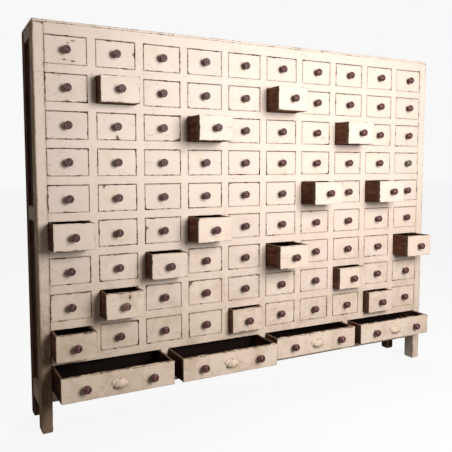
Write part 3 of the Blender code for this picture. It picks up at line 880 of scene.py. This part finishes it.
def lattice(name, xs, zs, rng):
    """A flat painted frame round its openings, with eased, dented edges."""
    xs, zs = np.array(xs), np.array(zs)
    x, z = (part.ravel() for part in np.meshgrid(xs, zs, indexing="ij"))
    away, inward = lattice_rims(x, z, windows())
    rim, edge, dent = lattice_wear(x, z, away, rng)
    at_end = (np.minimum(x - xs[0], xs[-1] - x) < 1e-5) & (edge < 0.5)
    edge = np.where(at_end, 0.75, edge)
    depth = np.where(rim, settings().sizes.ease + 0.4 * dent, np.where(at_end, 0.0006, 0.0))
    x, z = x + inward[:, 0] * dent, z + inward[:, 1] * dent
    fronts = np.stack([x, FACE_Y + depth, z], axis=1)
    backs = np.stack([x, np.full_like(x, FACE_BACK), z], axis=1)
    eased = fronts.copy()
    eased[:, 1] += 0.0022
    none = np.zeros(len(x))
    marks = {"edge": np.concatenate([edge, edge * 0.5, edge]), "bare": np.concatenate([none, none + 1, none + 0.1])}
    faces = lattice_faces(lattice_cells(xs, zs, windows()))
    return flat_mesh(name, np.concatenate([fronts, backs, eased]), faces, marks)


def build_face_frame():
    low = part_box("face_frame")[0]
    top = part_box("top_rail")[0].z - HAIR
    xs, zs = frame_lines()
    zs = [z for z in zs if z < top - 0.0005] + [top]
    mesh = lattice("face_frame", xs, zs, np.random.default_rng(14))
    piece("rails_and_muntins", mesh, "Cream Paint", "case", "cream_paint", "face_frame")
    low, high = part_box("bottom_rail")
    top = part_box("face_frame")[0].z - HAIR
    rail = worn_board((low.x, FACE_Y, low.z), (high.x, FACE_BACK, top), np.random.default_rng(15), 30)
    piece("rail_bottom", rail, "Cream Paint", "case", "cream_paint", "bottom_rail")


def shelf_top(row):
    return window(0.0, row_z(row), FRONT_SIZE.x, FRONT_SIZE.z)[2]


def shelf_shape(low, high, top):
    """A shelf board behind the face frame, with its upper face at top."""
    corners = (low.x, FACE_BACK + HAIR, top - SHELF_THICKNESS), (high.x, high.y, top)
    return Shape().add(*board(*corners, ease=0.001))


def build_shelves():
    low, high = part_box("face_frame")
    half = (COLUMN_PITCH - FRONT_SIZE.x) / 2 - SIDE_FIT
    for row in range(1, ROWS + 1):
        top = shelf_top(row)
        shape = shelf_shape(low, high, top)
        for column in range(1, COLUMNS):
            x = (column_x(column) + column_x(column + 1)) / 2
            corners = (x - half, FACE_BACK + HAIR, top), (x + half, high.y, top + GUIDE_HEIGHT)
            shape.add(*board(*corners, ease=0.001))
        piece(f"shelf_{row}", shape, "Shelf Wood", "case", "dark_wood", "face_frame")
    shape = shelf_shape(low, high, low.z - HAIR)
    piece("shelf_wide", shape, "Shelf Wood", "case", "dark_wood", "bottom_rail")


def build_back():
    low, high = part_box("back_board")
    count = 7
    rng = np.random.default_rng(16)
    edges = low.z + (high.z - low.z) * np.linspace(0, 1, count + 1)
    for number, (bottom, top) in enumerate(zip(edges, edges[1:]), 1):
        corners = (low.x, low.y, bottom + 0.0010), (high.x, high.y - 0.0012 * rng.random(), top - 0.0010)
        shape = Shape().add(*board(*corners, ease=0.0015))
        piece(f"back_plank_{number}", shape, "Back Wood", "case", "dark_wood", "back_board", tone=rng.random())


def side_spans(low, high):
    """Bottom and top of each of a side's rails."""
    return {
        "top": (high.z - SIDE_TOP_RAIL, high.z),
        "middle": SIDE_MIDDLE_RAIL,
        "bottom": (low.z, low.z + SIDE_BOTTOM_RAIL),
    }


def build_sides():
    rng = np.random.default_rng(17)
    for side, facing in (("left", -1.0), ("right", 1.0)):
        node = f"side_frame_{side}"
        low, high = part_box(node)
        outer = low.x if side == "left" else high.x
        spans = side_spans(low, high)
        x = sorted((outer, outer - facing * SIDE_RAIL_THICKNESS))
        for key, (bottom, top) in spans.items():
            shape = worn_board((x[0], low.y, bottom), (x[1], high.y, top), rng, 6)
            piece(f"side_rail_{key}_{side}", shape, "Side Paint", "case", "side_paint", node)
        x = sorted((outer - facing * PANEL_RECESS, outer - facing * (PANEL_RECESS + PANEL_THICKNESS)))
        for key, below, above in (("upper", "middle", "top"), ("lower", "bottom", "middle")):
            corners = (x[0], low.y, spans[below][1] + HAIR), (x[1], high.y, spans[above][0] - HAIR)
            shape = Shape().add(*board(*corners, ease=0.0008))
            piece(f"side_panel_{key}_{side}", shape, "Panel Wood", "case", "side_paint", node)


# ---------------------------------------------------------------- drawers
# Places where the paint is knocked off a drawer front: across and up from its middle, how far it spreads
# across and up, and how much.
KNOCKS = {
    (1, 1): [
        (-0.005, -0.037, 0.024, 0.0045, 0.95), (0.030, -0.041, 0.018, 0.0045, 0.98),
        (0.028, 0.040, 0.022, 0.0045, 0.85), (0.010, 0.030, 0.012, 0.005, 0.75),
        (-0.040, 0.043, 0.010, 0.004, 0.60), (0.070, 0.044, 0.010, 0.004, 0.70),
    ],
    (1, 2): [
        (0.076, 0.032, 0.005, 0.012, 0.60), (0.076, 0.008, 0.005, 0.009, 0.55), (0.060, -0.044, 0.020, 0.003, 0.60),
        (-0.070, 0.046, 0.012, 0.004, 0.60),
    ],
    (1, 3): [(-0.045, 0.030, 0.014, 0.014, 0.30), (-0.060, -0.030, 0.010, 0.010, 0.45)],
    (2, 1): [(0.000, -0.052, 0.012, 0.012, 0.60), (0.070, -0.050, 0.012, 0.012, 0.40)],
    (3, 1): [(0.055, 0.020, 0.009, 0.009, 0.45)],
    (3, 2): [
        (0.000, -0.040, 0.012, 0.012, 0.75), (0.008, -0.052, 0.010, 0.010, 0.75),
        (0.030, 0.036, 0.009, 0.009, 0.55), (0.070, 0.012, 0.012, 0.012, 0.40),
    ],
    (3, 3): [(0.072, -0.050, 0.016, 0.016, 0.85), (0.020, -0.054, 0.014, 0.014, 0.50)],
    (4, 8): [(-0.020, -0.034, 0.012, 0.012, 0.45), (0.010, -0.036, 0.010, 0.010, 0.40)],
    (5, 2): [(-0.062, 0.044, 0.010, 0.010, 0.75)],
    (6, 3): [(-0.076, 0.012, 0.014, 0.014, 0.80)],
    (7, 1): [(-0.070, -0.030, 0.010, 0.010, 0.40)],
    (8, 1): [(-0.076, 0.042, 0.012, 0.012, 0.75)],
    (8, 2): [
        (0.020, 0.034, 0.015, 0.015, 0.90), (-0.020, 0.042, 0.016, 0.016, 0.55), (0.060, 0.036, 0.014, 0.014, 0.55),
        (0.050, 0.004, 0.012, 0.012, 0.35),
    ],
    (8, 4): [(-0.074, 0.044, 0.018, 0.018, 0.85)],
    (3, 10): [(0.000, -0.036, 0.014, 0.014, 0.50), (0.040, -0.036, 0.012, 0.012, 0.45)],
    (2, 5): [(0.060, -0.038, 0.016, 0.016, 0.35), (-0.030, 0.035, 0.014, 0.014, 0.30)],
}
WIDE_KNOCKS = {
    1: [(0.100, 0.012, 0.006, 0.006, 0.6), (0.150, 0.030, 0.006, 0.006, 0.5)],
    2: [(0.060, 0.030, 0.010, 0.010, 0.45)],
    3: [(-0.215, -0.030, 0.014, 0.014, 0.50), (0.120, 0.020, 0.008, 0.008, 0.4)],
}


def drawer_front(low, high, rng, chips, knocks=(), bare_ends=True):
    """A painted front with a bare back, dented edges and knocked-off places, and bare ends where they show."""
    points, quads, normals, edge = board(low, high, step=0.0035 if knocks else 0.013)
    bare = np.where(points[:, 1] > low[1] + 0.0042, 0.55 if bare_ends else 0.1, 0.0)
    bare = np.where(points[:, 1] > high[1] - 0.0005, 1.0, bare)
    if bare_ends:
        bare = np.where((np.abs(normals[:, 0]) > 0.9), 1.0, bare)
    centre = (np.array(low) + np.array(high)) / 2
    points, edge = knocked(points, edge, low, high, rng, chips)
    for across, up, wide, tall, amount in knocks:
        away = np.hypot((points[:, 0] - centre[0] - across) / wide, (points[:, 2] - centre[2] - up) / tall)
        edge += np.where(points[:, 1] < low[1] + 0.002, 1.5 * amount * np.exp(-(away**2)), 0.0)
    return Shape().add(points, quads, normals, edge, bare)


def drawer_box(low, high):
    """Two sides, a back and a bottom behind the front. The bare mark says which skin is inside."""
    front = low[1] + FRONT_THICKNESS
    left, right = low[0] + BOX_SIDE, high[0] - BOX_SIDE
    boards = [
        ((low[0], front, low[2]), (left, high[1], high[2])),
        ((right, front, low[2]), (high[0], high[1], high[2])),
        ((left, high[1] - BOX_SIDE, low[2]), (right, high[1], high[2] - 0.001)),
        ((left, front, low[2] + REST_FIT), (right, high[1] - BOX_SIDE, low[2] + BOX_BOTTOM)),
    ]
    shape = Shape()
    for start, end in boards:
        points, quads, normals, edge = board(start, end, ease=0.0012, band=0.004)
        x, y, z = points.T
        # The inner skin, which the drawer wood paints near black as shade with some grime.
        inside = (x > low[0] + 0.006) & (x < high[0] - 0.006) & (y < high[1] - 0.006)
        inside &= (z > low[2] + 0.004) & (z < high[2] - 0.003)
        if start is boards[-1][0]:
            edge = edge * 0
        shape.add(points, quads, normals, edge, inside * 1.0)
    return shape


def put_drawer(front_name, front, box_name, box, body, node, tones):
    """The two pieces of a drawer, riding its body."""
    piece(front_name, front, "Cream Paint", body, "cream_paint", node, tone=tones[0])
    piece(box_name, box, "Drawer Wood", body, "dark_wood", node, tone=tones[1])


def build_closed_drawers():
    rng = np.random.default_rng(21)
    for row, column in cells():
        if (row, column) in OPEN:
            continue
        x, z = column_x(column), row_z(row)
        low = (x - FRONT_SIZE.x / 2, FACE_Y, z - FRONT_SIZE.z / 2)
        high = (x + FRONT_SIZE.x / 2, WEB_FRONT, z + FRONT_SIZE.z / 2)
        front_low = (low[0], FACE_Y + SET_BACK * rng.random(), low[2])
        front_high = (high[0], FACE_Y + FRONT_THICKNESS, high[2])
        front = drawer_front(front_low, front_high, rng, 3, KNOCKS.get((row, column), ()), bare_ends=False)
        tag = f"r{row}_c{column}"
        tones = tone_of(row, column), tone_of(column, row)
        put_drawer(f"front_{tag}", front, f"box_{tag}", drawer_box(low, high), "case", "drawers_closed", tones)


def build_open_drawers():
    rng = np.random.default_rng(22)
    for (row, column), (low, high) in sorted(OPEN.items()):
        front_high = (high.x, low.y + FRONT_THICKNESS, high.z)
        front = drawer_front(low, front_high, rng, 5, KNOCKS.get((row, column), ()))
        tag = f"r{row}_c{column}"
        body = f"drawer_{tag}"
        tones = tone_of(row, column) * 0.6 + 0.4, tone_of(column, row)
        put_drawer(f"front_{tag}", front, f"box_{tag}", drawer_box(low, high), body, body, tones)


def build_wide_drawers():
    rng = np.random.default_rng(23)
    for number, (low, high) in WIDE.items():
        front_high = (high.x, low.y + FRONT_THICKNESS, high.z)
        front = drawer_front(low, front_high, rng, 9, WIDE_KNOCKS.get(number, ()))
        body = f"wide_drawer_{number}"
        # The boxes of the left-hand wide drawers get darker tones, a painted shade on them; the front tone stays 0.9.
        tones = 0.9, 0.5 * number - 1.9
        put_drawer(f"wide_front_{number}", front, f"wide_box_{number}", drawer_box(low, high), body, body, tones)


# ---------------------------------------------------------------- knobs and pulls
# From the foot to the middle of the face: radius, distance from the drawer front, and a mark: above zero it is worn and
# lighter, partly a painted highlight; below zero it holds dirt and painted shade.
KNOB_STEPS = [
    (0.0102, 0.0000, -0.6), (0.0104, 0.0014, 0.1), (0.0096, 0.0026, -0.2), (0.0084, 0.0042, -0.5),
    (0.0080, 0.0070, -0.3), (0.0086, 0.0100, -0.1), (0.0108, 0.0128, 0.0), (0.0138, 0.0148, 0.1),
    (0.0162, 0.0164, 0.3), (0.0173, 0.0186, 0.5), (0.0175, 0.0208, 0.6), (0.0172, 0.0230, 0.5),
    (0.0164, 0.0252, 0.4), (0.0151, 0.0269, 0.3), (0.0137, 0.0277, 0.2), (0.0125, 0.0278, -0.1),
    (0.0116, 0.0274, -0.7), (0.0110, 0.0277, 0.1), (0.0105, 0.0286, 0.9), (0.0096, 0.0290, 1.0),
    (0.0088, 0.0284, 0.6), (0.0081, 0.0266, -0.5), (0.0072, 0.0258, -0.9), (0.0058, 0.0257, -0.9),
    (0.0050, 0.0266, -0.3), (0.0042, 0.0280, 0.7), (0.0030, 0.0286, 0.9), (0.0015, 0.0289, 0.9),
    (0.0000, 0.0290, 0.9),
]
FADED = {(8, 2): 1.0, (4, 10): 0.15}
OLIVE = {(4, 10): 1.0}


@functools.lru_cache(maxsize=None)
def knob_mesh():
    """A turned knob standing out along -Y from its seat."""
    segments = settings().sizes.knob_segments
    angles = 2 * np.pi * np.arange(segments) / segments
    points, edge = [], []
    for radius, out, wear in KNOB_STEPS[:-1]:
        points += [(radius * math.cos(a), -out, radius * math.sin(a)) for a in angles]
        edge += [wear] * segments
    points.append((0.0, -KNOB_STEPS[-1][1], 0.0))
    edge.append(KNOB_STEPS[-1][2])
    rings = len(KNOB_STEPS) - 1
    faces = ring_faces(rings - 1, segments)
    last = (rings - 1) * segments
    faces += [[last + k, last + (k + 1) % segments, len(points) - 1] for k in range(segments)]
    faces.append(list(range(segments))[::-1])
    made = bpy.data.meshes.new("knob")
    made.from_pydata(points, [], faces)
    add_mark(made, "edge", edge)
    made.polygons.foreach_set("use_smooth", [True] * len(made.polygons))
    made.set_sharp_from_angle(angle=math.radians(60))
    return made


def knob(name, body, node, where, tone, faded=0.0, olive=0.0):
    made = piece(name, knob_mesh(), "Knob Wood", body, "knob_wood", node, where=where, tone=tone)
    made["faded"], made["olive"] = faded, olive


def build_knobs():
    for row, column in cells():
        tag = f"r{row}_c{column}"
        out, body, node = FACE_Y, "case", "drawers_closed"
        if (row, column) in OPEN:
            out, body, node = OPEN[row, column][0].y, f"drawer_{tag}", f"knob_{tag}"
        where = (column_x(column), out, row_z(row))
        marks = FADED.get((row, column), 0.0), OLIVE.get((row, column), 0.0)
        knob(f"turned_knob_{tag}", body, node, where, tone_of(column, row + 3), *marks)
    for number in WIDE:
        for side in ("left", "right"):
            node = f"wide_knob_{number}_{side}"
            centre = middle(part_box(node))
            where = (centre.x, WIDE[number][0].y, centre.z)
            knob(f"turned_{node}", f"wide_drawer_{number}", node, where, tone_of(number, len(side)))


CUP_ROWS = 14
CUP_COLUMNS = 28
CUP_LIP = 0.0009


def cup_layer(width, height, out, rim, lip):
    """Points over a quarter of an egg, from its top down to its open lower edge."""
    points = []
    for i in range(CUP_ROWS + 1):
        down = math.pi / 2 * i / CUP_ROWS
        grow = lip * max(0.0, (i - CUP_ROWS + 2) / 2) - CUP_LIP
        for j in range(CUP_COLUMNS + 1):
            turn = math.pi * j / CUP_COLUMNS
            x = (width / 2 + grow) * math.sin(down) * math.cos(turn)
            y = -(out + grow) * math.sin(down) * math.sin(turn)
            points.append((x, y, rim + height * math.cos(down)))
    return np.array(points)


def cup_faces():
    """The outside, the inside and the lip that joins them."""
    step = CUP_COLUMNS + 1
    faces = []
    for i in range(CUP_ROWS):
        for j in range(CUP_COLUMNS):
            quad = [i * step + j, i * step + j + 1, (i + 1) * step + j + 1, (i + 1) * step + j]
            faces.append(quad)
            faces.append([k + (CUP_ROWS + 1) * step for k in reversed(quad)])
    outer, inner = CUP_ROWS * step, (2 * CUP_ROWS + 1) * step
    return faces + [[outer + j + 1, outer + j, inner + j, inner + j + 1] for j in range(CUP_COLUMNS)]


def cup_shape(width, height, out, wall, rim):
    """A hood, round in front and open below, with its inside, rim and a soft lip."""
    outside = cup_layer(width, height, out, rim, CUP_LIP)
    inside = cup_layer(width - 2 * wall, height - wall, out - wall, rim, 0.0)
    points = np.concatenate([outside, inside])
    scale = np.array([2 / width, 1 / out, 1 / height])
    normals = (points - np.array([0, 0, rim])) * scale**2
    normals /= np.maximum(np.linalg.norm(normals, axis=1, keepdims=True), 1e-9)
    normals[len(outside):] *= -1
    near_rim = np.clip((np.arange(CUP_ROWS + 1) - CUP_ROWS + 3) / 3, 0, 1)
    near_rim = np.tile(np.repeat(near_rim, CUP_COLUMNS + 1), 2)
    bare = np.repeat([0.0, 0.35], [len(outside), len(inside)])
    return Shape().add(points, cup_faces(), normals, near_rim * 0.9, bare)


# From the back of the plate's edge to its middle: share of the radius, share of the thickness, and wear, which on the
# rim also darkens the outline as a painted shadow beneath the plate.
PLATE_RINGS = [
    (1.0, 0.0, 1.0), (1.0, 0.5, 1.0), (0.985, 0.85, 0.9), (0.955, 1.0, 0.8), (0.91, 1.0, 0.2), (0.88, 0.78, 0.1),
]


def plate_shape(width, height, steps=44):
    """A flat oval with a rounded, slightly raised edge."""
    points, normals, edge = [], [], []
    for share, depth, wear in PLATE_RINGS:
        for k in range(steps):
            across, up = math.cos(2 * math.pi * k / steps), math.sin(2 * math.pi * k / steps)
            points.append((width / 2 * share * across, -PLATE_THICKNESS * depth, height / 2 * share * up))
            outward = 1.0 if depth < 0.9 and share > 0.98 else 0.0
            normals.append((across * outward, -1.0 if not outward or depth else 0.0, up * outward))
            edge.append(wear)
    last = (len(PLATE_RINGS) - 1) * steps
    faces = ring_faces(len(PLATE_RINGS) - 1, steps)
    faces.append([last + k for k in range(steps)])
    faces.append(list(range(steps))[::-1])
    return Shape().add(points, faces, normals, edge)


# From the edge of a screw head to its middle: share of the radius, and rise.
SCREW_RINGS = [(1.0, 0.0), (1.0, 0.25), (0.86, 0.55), (0.6, 0.75), (0.3, 0.84)]


def add_screw(shape, x, z, seat, radius, steps=16):
    """A domed, slotted screw head."""
    points, normals = [], []
    for share, rise in SCREW_RINGS:
        for k in range(steps):
            across, up = math.cos(2 * math.pi * k / steps), math.sin(2 * math.pi * k / steps)
            slot = 0.35 if abs(up) * share < 0.28 and share < 0.9 else 0.0
            points.append((x + radius * share * across, seat - radius * (rise - slot), z + radius * share * up))
            normals.append((share * across, -1.0 + share * 0.5, share * up))
    faces = ring_faces(len(SCREW_RINGS) - 1, steps)
    faces.append([(len(SCREW_RINGS) - 1) * steps + k for k in range(steps)])
    shape.add(points, faces, normals, 0.0)


def cup_meshes():
    """The hood, the plate and the screws, which every cup pull shares."""
    sizes = settings().sizes
    low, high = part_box("cup_pull_1")
    width, height = high.x - low.x, high.z - low.z
    cup_width, cup_height = width - 0.016, height - 0.012
    hood = cup_shape(cup_width, cup_height, high.y - low.y + HAIR, sizes.cup_wall, -cup_height / 2)
    screws = Shape()
    for x, z in ((-width / 2 + 0.0038, 0.0), (width / 2 - 0.0038, 0.0), (0.0, height / 2 - 0.0030)):
        add_screw(screws, x, z, -PLATE_THICKNESS * 0.9, sizes.screw)
    return hood.mesh("cup_hood"), plate_shape(width, height).mesh("cup_plate"), screws.mesh("cup_screws")


def build_cup_pulls():
    hood, plate, screws = cup_meshes()
    for number, (front, _) in WIDE.items():
        node, body = f"cup_pull_{number}", f"wide_drawer_{number}"
        centre = middle(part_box(node))
        options = {"where": (centre.x, front.y, centre.z), "tone": tone_of(number, 5)}
        piece(f"cup_hood_{number}", hood, "Cup Paint", body, "cup_paint", node, **options)
        piece(f"cup_plate_{number}", plate, "Cup Paint", body, "cup_paint", node, **options)
        piece(f"cup_screws_{number}", screws, "Screw Steel", body, "cup_paint", node, **options)


# ---------------------------------------------------------------- stage
def build_floor(studio):
    size = 40.0
    points = [(-size, -size, 0.0), (size, -size, 0.0), (size, size, 0.0), (-size, size, 0.0)]
    mesh = bpy.data.meshes.new("floor")
    mesh.from_pydata(points, [], [[0, 1, 2, 3]])
    made, graph = start_material("Studio Floor")
    seen = graph.add("ShaderNodeLightPath").outputs["Is Camera Ray"]
    glow = graph.blend(seen, (0.0, 0.0, 0.0, 1.0), rgba([studio.backdrop * 0.945] * 3))
    grey = (0.065, 0.065, 0.064, 1.0)
    inputs = {"Base Color": grey, "Roughness": 0.9, "Emission Color": glow, "Emission Strength": 1.0}
    shader = graph.add("ShaderNodeBsdfPrincipled", inputs)
    graph.join(shader.outputs[0], graph.add("ShaderNodeOutputMaterial").inputs["Surface"])
    mesh.materials.append(made)
    floor = bpy.data.objects.new("studio_floor", mesh)
    bpy.context.scene.collection.objects.link(floor)


def build_world(studio):
    """A bright backdrop in view, and a gentler, slightly warm light from all round."""
    world = bpy.data.worlds.new("studio")
    bpy.context.scene.world = world
    world.use_nodes = True
    world.node_tree.nodes.clear()
    graph = Graph(world.node_tree)
    seen = graph.add("ShaderNodeLightPath").outputs["Is Camera Ray"]
    fill = graph.add("ShaderNodeBackground", {"Color": (1.0, 0.88, 0.74, 1.0), "Strength": studio.fill})
    back = graph.add("ShaderNodeBackground", {"Color": (1.0, 1.0, 1.0, 1.0), "Strength": studio.backdrop})
    mixed = graph.add("ShaderNodeMixShader", {0: seen, 1: fill.outputs[0], 2: back.outputs[0]})
    graph.join(mixed.outputs[0], graph.add("ShaderNodeOutputWorld").inputs["Surface"])


def build_light(name, place, aim, power, radius):
    """A soft round light hung at a place and turned towards its aim."""
    light = bpy.data.lights.new(name, "AREA")
    light.shape = "DISK"
    light.size = 2 * radius
    light.energy = power
    light.color = (1.0, 0.985, 0.965)
    made = bpy.data.objects.new(name, light)
    turn = (Vector(aim) - Vector(place)).to_track_quat("-Z", "Y").to_matrix().to_4x4()
    made.matrix_world = Matrix.Translation(place) @ turn
    made.visible_camera = False
    bpy.context.scene.collection.objects.link(made)


def build_camera(studio):
    yaw, pitch, roll = studio.camera_yaw, studio.camera_pitch, studio.camera_roll
    ahead = Vector((math.sin(yaw) * math.cos(pitch), math.cos(yaw) * math.cos(pitch), math.sin(pitch)))
    right = Vector((math.cos(yaw), -math.sin(yaw), 0.0))
    up = right.cross(ahead)
    turned_right = right * math.cos(roll) + up * math.sin(roll)
    turned_up = up * math.cos(roll) - right * math.sin(roll)
    camera = bpy.data.cameras.new("camera")
    camera.sensor_width = 36.0
    camera.lens = studio.lens
    camera.shift_x, camera.shift_y = studio.shift
    made = bpy.data.objects.new("camera", camera)
    turn = Matrix((turned_right, turned_up, -ahead)).transposed().to_4x4()
    made.matrix_world = Matrix.Translation(studio.camera_place) @ turn
    bpy.context.scene.collection.objects.link(made)
    bpy.context.scene.camera = made


def build_stage():
    studio = settings().studio
    build_floor(studio)
    build_world(studio)
    build_light("key", studio.key_place, studio.key_aim, studio.key_power, studio.key_radius)
    build_light("side", studio.side_place, studio.side_aim, studio.side_power, studio.side_radius)
    build_light("back", studio.back_place, studio.back_aim, studio.back_power, studio.back_radius)
    build_camera(studio)
    bpy.context.scene.view_settings.view_transform = "Standard"


# ---------------------------------------------------------------- operators
class CABINET_OT_posts(bpy.types.Operator):
    """Build the four posts that run down as legs"""
    bl_idname = "cabinet.posts"
    bl_label = "Posts"

    def execute(self, context):
        build_posts()
        return {"FINISHED"}


class CABINET_OT_top(bpy.types.Operator):
    """Build the top board and the rail under it"""
    bl_idname = "cabinet.top"
    bl_label = "Top"

    def execute(self, context):
        build_top()
        return {"FINISHED"}


class CABINET_OT_face_frame(bpy.types.Operator):
    """Build the rails, muntins and dividers of the front"""
    bl_idname = "cabinet.face_frame"
    bl_label = "Face Frame"

    def execute(self, context):
        build_face_frame()
        return {"FINISHED"}


class CABINET_OT_shelves(bpy.types.Operator):
    """Build the shelf boards that the drawers run on, with their guides"""
    bl_idname = "cabinet.shelves"
    bl_label = "Shelves"

    def execute(self, context):
        build_shelves()
        return {"FINISHED"}


class CABINET_OT_back(bpy.types.Operator):
    """Build the planks of the back"""
    bl_idname = "cabinet.back"
    bl_label = "Back"

    def execute(self, context):
        build_back()
        return {"FINISHED"}


class CABINET_OT_sides(bpy.types.Operator):
    """Build the side rails with their recessed panels"""
    bl_idname = "cabinet.sides"
    bl_label = "Sides"

    def execute(self, context):
        build_sides()
        return {"FINISHED"}


class CABINET_OT_closed_drawers(bpy.types.Operator):
    """Build the small drawers that are shut"""
    bl_idname = "cabinet.closed_drawers"
    bl_label = "Closed Drawers"

    def execute(self, context):
        build_closed_drawers()
        return {"FINISHED"}


class CABINET_OT_open_drawers(bpy.types.Operator):
    """Build the small drawers that slide"""
    bl_idname = "cabinet.open_drawers"
    bl_label = "Open Drawers"

    def execute(self, context):
        build_open_drawers()
        return {"FINISHED"}


class CABINET_OT_wide_drawers(bpy.types.Operator):
    """Build the four wide drawers"""
    bl_idname = "cabinet.wide_drawers"
    bl_label = "Wide Drawers"

    def execute(self, context):
        build_wide_drawers()
        return {"FINISHED"}


class CABINET_OT_knobs(bpy.types.Operator):
    """Build every turned knob"""
    bl_idname = "cabinet.knobs"
    bl_label = "Knobs"

    def execute(self, context):
        build_knobs()
        return {"FINISHED"}


class CABINET_OT_cup_pulls(bpy.types.Operator):
    """Build the cup pulls with their plates and screws"""
    bl_idname = "cabinet.cup_pulls"
    bl_label = "Cup Pulls"

    def execute(self, context):
        build_cup_pulls()
        return {"FINISHED"}


class CABINET_OT_stage(bpy.types.Operator):
    """Build the floor, the light and the camera"""
    bl_idname = "cabinet.stage"
    bl_label = "Stage"

    def execute(self, context):
        build_stage()
        return {"FINISHED"}


OPERATORS = (
    CABINET_OT_posts, CABINET_OT_top, CABINET_OT_face_frame, CABINET_OT_shelves,
    CABINET_OT_back, CABINET_OT_sides, CABINET_OT_closed_drawers, CABINET_OT_open_drawers,
    CABINET_OT_wide_drawers, CABINET_OT_knobs, CABINET_OT_cup_pulls, CABINET_OT_stage,
)


class CABINET_PT_panel(bpy.types.Panel):
    bl_label = "Apothecary Cabinet"
    bl_idname = "CABINET_PT_panel"
    bl_space_type = "VIEW_3D"
    bl_region_type = "UI"
    bl_category = "Cabinet"

    def draw(self, context):
        for group in (context.scene.apothecary.sizes, context.scene.apothecary.finish, context.scene.apothecary.studio):
            column = self.layout.column(align=True)
            for label in group.bl_rna.properties.keys():
                if label not in ("rna_type", "name"):
                    column.prop(group, label)
        for operator in OPERATORS:
            self.layout.operator(operator.bl_idname)


CLASSES = (CabinetSizes, CabinetFinish, CabinetStudio, CabinetSettings, *OPERATORS, CABINET_PT_panel)


def register():
    for cls in CLASSES:
        bpy.utils.register_class(cls)
    bpy.types.Scene.apothecary = PointerProperty(type=CabinetSettings)


def unregister():
    del bpy.types.Scene.apothecary
    for cls in reversed(CLASSES):
        bpy.utils.unregister_class(cls)


def main():
    register()
    for operator in OPERATORS:
        group, action = operator.bl_idname.split(".")
        getattr(getattr(bpy.ops, group), action)()


if __name__ == "__main__":
    main()
